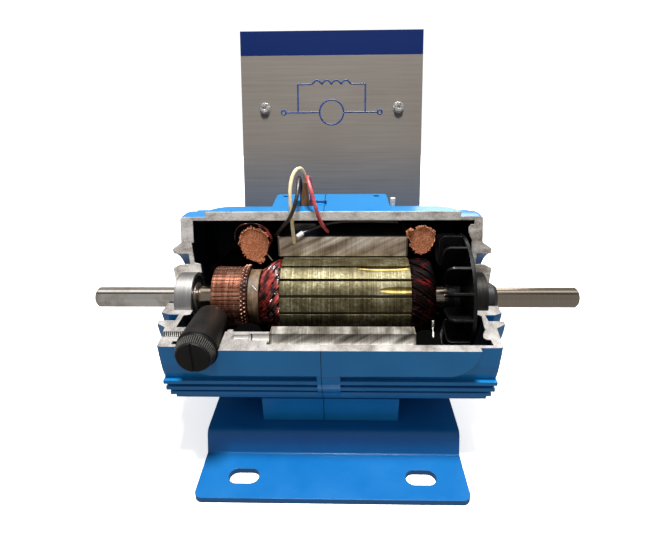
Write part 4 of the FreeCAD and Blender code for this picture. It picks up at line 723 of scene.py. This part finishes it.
# Solder joints: r = foot + height * bumps * uneven, where a row has one round bump for each bar
# and uneven makes some of them higher than others.
JOINT_ROWS = ((-57.9, 0.0), (-55.8, math.pi))
JOINT_ENDS, JOINT_HALF, JOINT_FOOT, JOINT_HIGH = (-59.0, -54.7), 0.85, 21.2, 1.7
x, angle = np.meshgrid(np.linspace(*JOINT_ENDS, 22),
                       np.linspace(0, 2 * math.pi, BARS * 12, endpoint=False), indexing="ij")
bumps = sum(np.exp(-((x - middle) / JOINT_HALF) ** 2)
            * (0.5 + 0.5 * np.cos(BARS * angle + phase)) ** 1.5 for middle, phase in JOINT_ROWS)
uneven = 1 + 0.18 * np.sin(angle * 7) * np.sin(angle * 11 + x)
radius = JOINT_FOOT + JOINT_HIGH * bumps * uneven
joints = np.stack([x + MOTOR_X / MM, -radius * np.sin(angle),
                   AXIS_Z / MM + radius * np.cos(angle)], -1)
solder = Finish("riser_solder", metallic=0.75)
y, z = solder.axes()[1:]
rise = ((square(y) + square(z - AXIS_Z)) ** 0.5) / MM
fleck = solder.noise(900, 4)
# The colour runs from black low down between the joints to pale copper at their tops.
joint_height_tone = solder.span(rise + fleck * 0.9, 22.0, 23.4)
solder.wear(
    Base_Color=solder.ramp(joint_height_tone, (0.0, (0.010, 0.004, 0.003)), (0.5, (0.30, 0.10, 0.055)),
                           (1.0, (0.85, 0.52, 0.38))),
    Roughness=solder.span(fleck, 0.3, 0.7, 0.25, 0.5),
)
put_in("riser_joints", "rotor", solder, joints[None])

band = Finish("binding_tape", roughness=0.6)
weave = band.noise(1.0, 3, stretch=(900, 90, 90))
stain = band.noise(130, 4)
band.wear(
    Base_Color=band.ramp(weave * 0.4 + stain * 0.6, (0.36, (0.022, 0.011, 0.004)),
                         (0.5, (0.098, 0.058, 0.027)), (0.66, (0.21, 0.145, 0.085))),
    Roughness=band.span(stain, 0.3, 0.7, 0.4, 0.7),
    Normal=band.bump(weave, 0.3, 0.0003, band.soft_edges(0.0006)),
)
dress(band, "binding_band")
LOOSE_X, LOOSE_LONG, LOOSE_R, LOOSE_LIFT, LOOSE_THICK = -51.2, 3.4, 19.62, 0.12, 0.3
t = np.linspace(0, 1, 9)
put_in("thread_end", "rotor", white_thread,
       strands(LOOSE_X + LOOSE_LONG * t[None], LOOSE_R + LOOSE_LIFT * np.sin(math.pi * t)[None],
               np.radians(38 + 11 * t)[None], LOOSE_THICK))

# ------------------------------------------
# Brush gear: black moulded holders and caps, brass sleeves and carbon brushes. A cap has two
# fine rims, then a ring of knurling, then a smooth nose.
bakelite = Finish("bakelite", Specular_IOR_Level=0.2)
specks = bakelite.noise(900, 4)
rub = bakelite.noise(90, 3)
bakelite.wear(
    Base_Color=bakelite.ramp(rub, (0.35, (0.0035, 0.003, 0.0026)), (0.7, (0.011, 0.009, 0.007))),
    Roughness=bakelite.span(specks, 0.3, 0.7, 0.42, 0.6),
    Normal=bakelite.bump(specks, 0.12, 0.0002, bakelite.soft_edges(0.0006)),
)
dress(bakelite, "commutator_hub", "brush_holder_front", "brush_holder_rear", "brush_cap_front",
      "brush_cap_rear")
brass = mottled("brass", 300, 3, ((0.3, (0.16, 0.10, 0.03)), (0.7, (0.36, 0.25, 0.09))),
                rough=(0.3, 0.5), metallic=1.0)
dress(brass, "brush_sleeve_front", "brush_sleeve_rear")
carbon = mottled("brush_carbon", 900, 4, ((0.3, (0.022, 0.019, 0.016)), (0.7, (0.10, 0.09, 0.075))),
                 rough=(0.4, 0.6), metallic=0.2)
dress(carbon, "brush_front", "brush_rear")

# A cap's skin is r = cone + rims + knurling along its reach of 0 to 1: each rim a bell curve
# with its height, middle and half width, and the knurling a row of ridges that fades at both
# ends. Its two ends are tucked into the cap, and the rest stands a hair proud of it.
BRUSH_X, CAP_START, CAP_LONG, CAP_START_R, CAP_END_R = -77.2, 61.05, 8.5, 11.6, 9.3
RIMS = ((0.42, 0.055, 0.024), (0.34, 0.17, 0.02))
RIDGES, RIDGE_LOW, RIDGE_HIGH = 56, 0.05, 0.75
KNURL_FROM, KNURL_TO, KNURL_FADE = 0.25, 0.86, 0.012
SKIN_END, END_HALF, TUCKED, PROUD = 0.93, 0.001, -0.4, 0.02
reach, angle = np.meshgrid(np.linspace(0, SKIN_END, 84),
                           np.linspace(0, 2 * math.pi, RIDGES * 6, endpoint=False), indexing="ij")
cone = CAP_START_R - (CAP_START_R - CAP_END_R) * reach
rims = sum(high * np.exp(-((reach - middle) / half) ** 2) for high, middle, half in RIMS)
knurled = (1 / (1 + np.exp(-(reach - KNURL_FROM) / KNURL_FADE))
           / (1 + np.exp((reach - KNURL_TO) / KNURL_FADE)))
knurling = knurled * (RIDGE_LOW + RIDGE_HIGH * (0.5 + 0.5 * np.cos(RIDGES * angle)) ** 0.8)
edge = np.where((reach < END_HALF) | (reach > SKIN_END - END_HALF), TUCKED, PROUD)
radius = cone + rims + knurling + edge
knurl_finish = Finish("knurling_highlights_and_scuffs", Specular_IOR_Level=0.22)
x, y, z = knurl_finish.axes()
crest = knurl_finish.maths("COSINE", knurl_finish.maths("ARCTAN2", z - AXIS_Z, x - BRUSH_X * MM) * RIDGES)
along_cap = (abs(y) / MM - CAP_START) / CAP_LONG
ridged = (along_cap > 0.24) & (along_cap < 0.87)
RIM_WAVE = 54.6
rim = (along_cap < 0.22) * (0.5 + 0.5 * knurl_finish.maths("COSINE", (along_cap - RIMS[0][1]) * RIM_WAVE))
scuffs = knurl_finish.noise(500, 4)
# Ridge crests and the rims are painted lighter as highlight, mixed with scuffs of wear.
ridge_highlight_and_scuffs = (ridged * (crest * 0.5 + 0.5) | rim * 0.55) * (0.55 + scuffs * 0.9)
knurl_finish.wear(
    Base_Color=knurl_finish.ramp(ridge_highlight_and_scuffs, (0.3, (0.0012, 0.0011, 0.001)), (0.65, (0.010, 0.009, 0.008)),
                         (0.95, (0.075, 0.07, 0.062))),
    Roughness=knurl_finish.span(scuffs, 0.3, 0.7, 0.4, 0.6),
)

# The sleeve's lip is a ring: a circle of radius LIP_R swept on a circle of radius LIP_RING_R.
LIP_Y, LIP_R, LIP_RING_R = 27.9, 0.36, 9.2
turn = np.linspace(0, 2 * math.pi, 49)
around = np.linspace(0, 2 * math.pi, 60, endpoint=False)
SIDES = (("front", -1), ("rear", 1))
for name, side in SIDES:
    skin = np.stack([BRUSH_X + radius * np.cos(angle), side * (CAP_START + CAP_LONG * reach),
                     AXIS_Z / MM + radius * np.sin(angle)], -1)
    put_in("cap_knurling_" + name, "frame", knurl_finish, skin[None])
    lip_y = side * (LIP_Y + LIP_R * np.cos(turn)[:, None])
    lip_r = LIP_RING_R + LIP_R * np.sin(turn)[:, None]
    lip = np.stack([BRUSH_X + lip_r * np.cos(around), lip_y + 0 * around,
                    AXIS_Z / MM + lip_r * np.sin(around)], -1)
    put_in("sleeve_lip_" + name, "frame", brass, lip[None], ends=False)

# Brush springs: steel wire wound on radius 2.4 mm, one turn every 2.4 mm. Its middle is the
# helix (R cos(w), y, R sin(w)), and a ring of the wire stands square to it.
SPRING_R, SPRING_WIRE_R, SPRING_PITCH, BRUSH_TRAVEL = 2.4, 0.3, 2.4, 3.0
SPRING_STEPS, SPRING_SIDES = 150, 8
climb = SPRING_PITCH / (2 * math.pi * SPRING_R)
around = even_turn(SPRING_SIDES)
ring_r = SPRING_R + SPRING_WIRE_R * np.cos(around)
lean = SPRING_WIRE_R * climb * np.sin(around)
for name, side in SIDES:
    low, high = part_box("brush_spring_" + name)
    first, last = low.y / MM + SPRING_WIRE_R, high.y / MM - SPRING_WIRE_R
    along = np.linspace(first, last, SPRING_STEPS)[:, None]
    turn = (along - first) * 2 * math.pi / SPRING_PITCH
    spring = np.stack([BRUSH_X + ring_r * np.cos(turn) + lean * np.sin(turn),
                       along + SPRING_WIRE_R * np.sin(around),
                       AXIS_Z / MM + ring_r * np.sin(turn) - lean * np.cos(turn)], -1)
    piece = put_in("coil_spring_" + name, "frame", zinc, spring[None])
    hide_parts("brush_spring_" + name)
    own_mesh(piece)

# ------------------------------------------
# Fan: moulded in one piece from black plastic, with a slight sheen on its rounded edges, and
# pushed on the right end of the shaft.
fan_plastic = mottled("fan_plastic", 600, 3, ((0.3, (0.0014, 0.0014, 0.0015)),
                                              (0.8, (0.0045, 0.0045, 0.005))),
                      rough=(0.30, 0.42), bump=(0.08, 0.0002), edges=0.0008,
                      Specular_IOR_Level=0.22)
dress(fan_plastic, "fan")

# ------------------------------------------
# Sign plate: brushed sheet that leans back, screwed to the bracket behind it, with a plain
# dark blue band along its top and a generic wiring diagram of a motor printed on it in the
# same blue. Towards its foot the plate turns bluish: a painted blue reflection.
SIGN_LEAN = math.radians(18.2)
SIGN_X, SIGN_FOOT_Y, SIGN_FOOT_Z, SIGN_TOP, HEADER = -2.9, 88.0, 89.0, 177.3, 19.2
FACE_DEEP, REFLECTION_FADE = 0.2 * MM, (30 * MM, 88 * MM)
PRINT_BLUE = (0.0008, 0.010, 0.066)
sign = Finish("sign_face", Specular_IOR_Level=0.06)
y, z = sign.axes()[1:]
up_slope = ((y - SIGN_FOOT_Y * MM) * math.sin(SIGN_LEAN)
            + (z - SIGN_FOOT_Z * MM) * math.cos(SIGN_LEAN))
brushed = sign.noise(1.0, 4, 0.6, stretch=(18, 650, 650))
cloud = sign.noise(14, 3)
streaks = brushed * 0.6 + cloud * 0.4
warm = sign.ramp(streaks, (0.3, (0.128, 0.110, 0.094)), (0.7, (0.168, 0.152, 0.134)))
# Bluish tones at the foot of the plate: a painted reflection of blue.
blue_reflection = sign.ramp(streaks, (0.3, (0.066, 0.080, 0.108)), (0.7, (0.092, 0.114, 0.150)))
metal = sign.blend(sign.span(up_slope, *REFLECTION_FADE), blue_reflection, warm)
behind = ((y - SIGN_FOOT_Y * MM) * math.cos(SIGN_LEAN)
          - (z - SIGN_FOOT_Z * MM) * math.sin(SIGN_LEAN))
header = (up_slope > (SIGN_TOP - HEADER) * MM) & (behind < FACE_DEEP)
sign.wear(
    Base_Color=sign.blend(header, metal, PRINT_BLUE),
    Metallic=(1 - header) * 0.12,
    Roughness=sign.span(brushed, 0.3, 0.7, 0.55, 0.7),
    Normal=sign.bump(brushed, 0.06, 0.0002),
)
dress(sign, "sign_plate")

ink = mottled("printed_ink", 500, 3, ((0.3, PRINT_BLUE), (0.7, (0.006, 0.045, 0.21))),
              roughness=0.45)
PRINT_V, INK_HIGH, STROKE = 121.0, 0.06, 1.3


def stroke(points):
    """A printed line: a path (u, v) in the plane of the sign, half a stroke wide to each side
    and INK_HIGH above and below the face."""
    points = np.asarray(points, float)
    ahead = unit(np.gradient(points, axis=0))
    across = np.stack([-ahead[:, 1], ahead[:, 0]], -1) * STROKE / 2
    flat = np.stack([points - across, points - across, points + across, points + across], 1)
    lift = np.array([-INK_HIGH, INK_HIGH, INK_HIGH, -INK_HIGH])
    u, v = flat[:, :, 0], flat[:, :, 1] + PRINT_V
    return np.stack([SIGN_X + u,
                     SIGN_FOOT_Y + v * math.sin(SIGN_LEAN) - lift * math.cos(SIGN_LEAN),
                     SIGN_FOOT_Z + v * math.cos(SIGN_LEAN) + lift * math.sin(SIGN_LEAN)], -1)


# The diagram: a line between two terminals with the rotor's circle in it, and over that a
# branch that holds the field coil, drawn as four loops.
LINE_V, COIL_V, ROTOR_R, TERMINAL_R, GAP_U = -8, 14.5, 10, 1.8, 0.5
TERMINAL_U, LINE_U, BRANCH_U, COIL_U, LOOPS, LOOP_HIGH = 40, 38, 28, 16, 4, 3.2
straight_t = np.linspace(0, 1, 65)
round_t = np.linspace(0, 2 * math.pi, 65)


def between(first, second):
    """A straight line, first + (second - first) * t."""
    return np.array(first) + (np.array(second) - np.array(first)) * straight_t[:, None]


def circle(radius, u, v):
    """A circle round (u, v): u + radius * cos(t), v + radius * sin(t)."""
    return np.stack([radius * np.cos(round_t) + u, radius * np.sin(round_t) + v], -1)


loops = np.stack([-COIL_U + 2 * COIL_U * straight_t,
                  COIL_V + LOOP_HIGH * np.abs(np.sin(LOOPS * math.pi * straight_t))], -1)
diagram = [
    circle(ROTOR_R, 0, LINE_V),
    between((-LINE_U, LINE_V), (-ROTOR_R - GAP_U, LINE_V)),
    between((ROTOR_R + GAP_U, LINE_V), (LINE_U, LINE_V)),
    between((-BRANCH_U, LINE_V), (-BRANCH_U, COIL_V)),
    between((BRANCH_U, LINE_V), (BRANCH_U, COIL_V)),
    between((-BRANCH_U, COIL_V), (-COIL_U, COIL_V)),
    between((COIL_U, COIL_V), (BRANCH_U, COIL_V)), loops,
    circle(TERMINAL_R, -TERMINAL_U, LINE_V),
    circle(TERMINAL_R, TERMINAL_U, LINE_V),
]
put_in("sign_diagram", "frame", ink, np.stack([stroke(line) for line in diagram]))

# ------------------------------------------
# Leads: soft insulated wire that comes up from the coil, out of the hole in the terminal pad
# and down again in front; the one with the ferrule runs along the top of the stack.
LEAD_R = 1.25
LEADS = {
    "lead_cream": ((0.66, 0.50, 0.27), (0.86, 0.74, 0.48), (
        (-24.6, 9.2, 36.8), (-25.4, 8.4, 50.5), (-25.8, 8.8, 62.5), (-26.0, 10.2, 72.0),
        (-25.0, 13.8, 79.6), (-22.4, 18.6, 84.4), (-19.2, 24.4, 84.2), (-17.4, 28.6, 78.0),
        (-16.8, 30.4, 70.0), (-16.8, 30.9, 61.0), (-17.1, 31.0, 52.0))),
    "lead_red": ((0.34, 0.035, 0.04), (0.60, 0.11, 0.115), (
        (-2.0, 15.5, 42.4), (-5.2, 10.8, 48.4), (-7.8, 8.4, 55.2), (-9.5, 8.0, 62.6),
        (-11.3, 9.5, 69.3), (-13.3, 13.4, 75.4), (-15.2, 19.2, 79.2), (-14.6, 25.4, 77.8),
        (-13.5, 28.8, 70.6), (-13.3, 29.6, 62.0), (-13.6, 29.4, 54.0))),
    "lead_black": ((0.008, 0.005, 0.004), (0.035, 0.024, 0.02), (
        (-38.4, 17.2, 39.4), (-33.2, 12.0, 46.2), (-27.6, 6.0, 53.6), (-23.6, 5.2, 61.4),
        (-21.4, 8.0, 68.4), (-20.8, 13.4, 74.4), (-20.8, 19.6, 78.4), (-20.7, 25.6, 77.6),
        (-20.4, 29.4, 71.0), (-20.3, 30.2, 61.5), (-20.5, 30.2, 52.0))),
    "lead_ferruled": ((0.008, 0.006, 0.005), (0.04, 0.028, 0.022), (
        (-22.0, 9.4, 41.6), (-18.6, 11.6, 43.0), (-14.0, 13.5, 44.6), (-7.2, 14.6, 47.0),
        (0.2, 15.0, 49.2), (8.3, 15.0, 50.2), (17.0, 15.2, 50.3), (26.4, 15.6, 50.2),
        (35.9, 16.2, 49.7), (45.3, 17.2, 48.9))),
}
white = mottled("ferrule_plastic", 400, 3, ((0.3, (0.46, 0.43, 0.42)), (0.7, (0.66, 0.63, 0.62))),
                edges=0.0003, roughness=0.35)
dress(white, "ferrule")
for name, (dark, pale, route) in LEADS.items():
    skin = mottled(name + "_skin", 260, 4, ((0.35, dark), (0.65, pale)), rough=(0.35, 0.5),
                   bump=(0.15, 0.0002), Coat_Weight=0.3, Coat_Roughness=0.25)
    curve = bpy.data.curves.new(name + "_cord", "CURVE")
    curve.dimensions = "3D"
    curve.bevel_depth = LEAD_R * MM
    curve.bevel_resolution = 4
    curve.resolution_u = curve.render_resolution_u = 12
    curve.use_fill_caps = True
    spline = curve.splines.new("NURBS")
    spline.points.add(len(route) - 1)
    points = np.ones((len(route), 4))
    points[:, :3] = (np.array(route) + (MOTOR_X / MM, 0, AXIS_Z / MM)) * MM
    spline.points.foreach_set("co", points.ravel())
    spline.order_u = 3
    spline.use_endpoint_u = True
    curve.materials.append(skin.material)
    cord = bpy.data.objects.new(name + "_cord", curve)
    bpy.context.collection.objects.link(cord)
    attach(cord, "frame")
    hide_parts(name)

# ------------------------------------------
# Studio: a pale floor and backdrop that only the camera sees, a second floor under them that
# lights the object from below, a soft light overhead and a weak one behind.
def sheet_of(name, corners, finish):
    """A flat sheet through four corners; it belongs to the studio and not to the object."""
    mesh = bpy.data.meshes.new(name)
    mesh.from_pydata(corners, [], [(0, 1, 2, 3)])
    mesh.materials.append(finish.material)
    sheet = bpy.data.objects.new(name, mesh)
    bpy.context.collection.objects.link(sheet)
    return sheet


def glowing(name, strength, tint=(1, 1, 1)):
    """The finish of a black sheet that shines by itself."""
    finish = Finish(name, roughness=1.0)
    finish.wear(Base_Color=(0, 0, 0), Emission_Color=tint, Emission_Strength=strength)
    return finish


FLOOR_HALF, UNDER = 3.0, -1 * MM
CORNERS = ((-FLOOR_HALF, -FLOOR_HALF), (FLOOR_HALF, -FLOOR_HALF), (FLOOR_HALF, FLOOR_HALF),
           (-FLOOR_HALF, FLOOR_HALF))
paper = Finish("studio_paper", roughness=0.9)
paper.wear(Base_Color=(0.9, 0.9, 0.9), Emission_Color=(1, 1, 1), Emission_Strength=0.62)
floor = sheet_of("floor", [(x, y, 0) for x, y in CORNERS], paper)
floor.visible_diffuse = floor.visible_glossy = False
sheet_of("under_floor", [(x, y, UNDER) for x, y in CORNERS], glowing("under_floor", 0.42))

SKY_STRENGTH = 0.40
world = bpy.data.worlds.new("studio")
world.use_nodes = True
sky = world.node_tree.nodes["Background"].inputs
sky["Color"].default_value = (1, 1, 1, 1)
sky["Strength"].default_value = SKY_STRENGTH
bpy.context.scene.world = world
bpy.context.scene.view_settings.view_transform = "Standard"

BACK_HALF, BACK_Y, BACK_FOOT, BACK_TOP = 4, 0.9, -0.1, 3
backdrop = sheet_of("backdrop", [(-BACK_HALF, BACK_Y, BACK_FOOT), (BACK_HALF, BACK_Y, BACK_FOOT),
                                 (BACK_HALF, BACK_Y, BACK_TOP), (-BACK_HALF, BACK_Y, BACK_TOP)],
                    glowing("backdrop_white", 1.05))
backdrop.visible_diffuse = backdrop.visible_glossy = False


def soft_light(name, spot, target, size, power):
    """A square light at spot that faces target, with its side in metres and power in watts."""
    data = bpy.data.lights.new(name, "AREA")
    data.shape = "SQUARE"
    data.size = size
    data.energy = power
    light = bpy.data.objects.new(name, data)
    light.location = spot
    light.rotation_euler = (Vector(target) - Vector(spot)).to_track_quat("-Z", "Y").to_euler()
    bpy.context.collection.objects.link(light)


soft_light("overhead", spot=(0.03, -0.12, 1.3), target=(0, 0, 0.1), size=0.2, power=32)
soft_light("rear_fill", spot=(0.25, 0.8, 0.62), target=(0, 0.05, 0.1), size=0.5, power=3.2)

# Two cards that only mirrors see, a dark one before the light and a bright one behind it:
# they draw the dark line and the bright streak along the shaft, the bearing and the copper.
# Each has its strength and the places in Y of its two long edges.
CARDS = {"dark_card": (0.0, -0.55, -0.24), "bright_card": (1.7, 0.02, 0.42)}
CARD_HALF, CARD_Z, CARD_TINT = 2, 1.2, (1, 0.97, 0.93)
for name, (strength, near, far) in CARDS.items():
    card = sheet_of(name, [(-CARD_HALF, near, CARD_Z), (CARD_HALF, near, CARD_Z),
                           (CARD_HALF, far, CARD_Z), (-CARD_HALF, far, CARD_Z)],
                    glowing(name, strength, CARD_TINT))
    card.visible_camera = card.visible_diffuse = card.visible_shadow = False
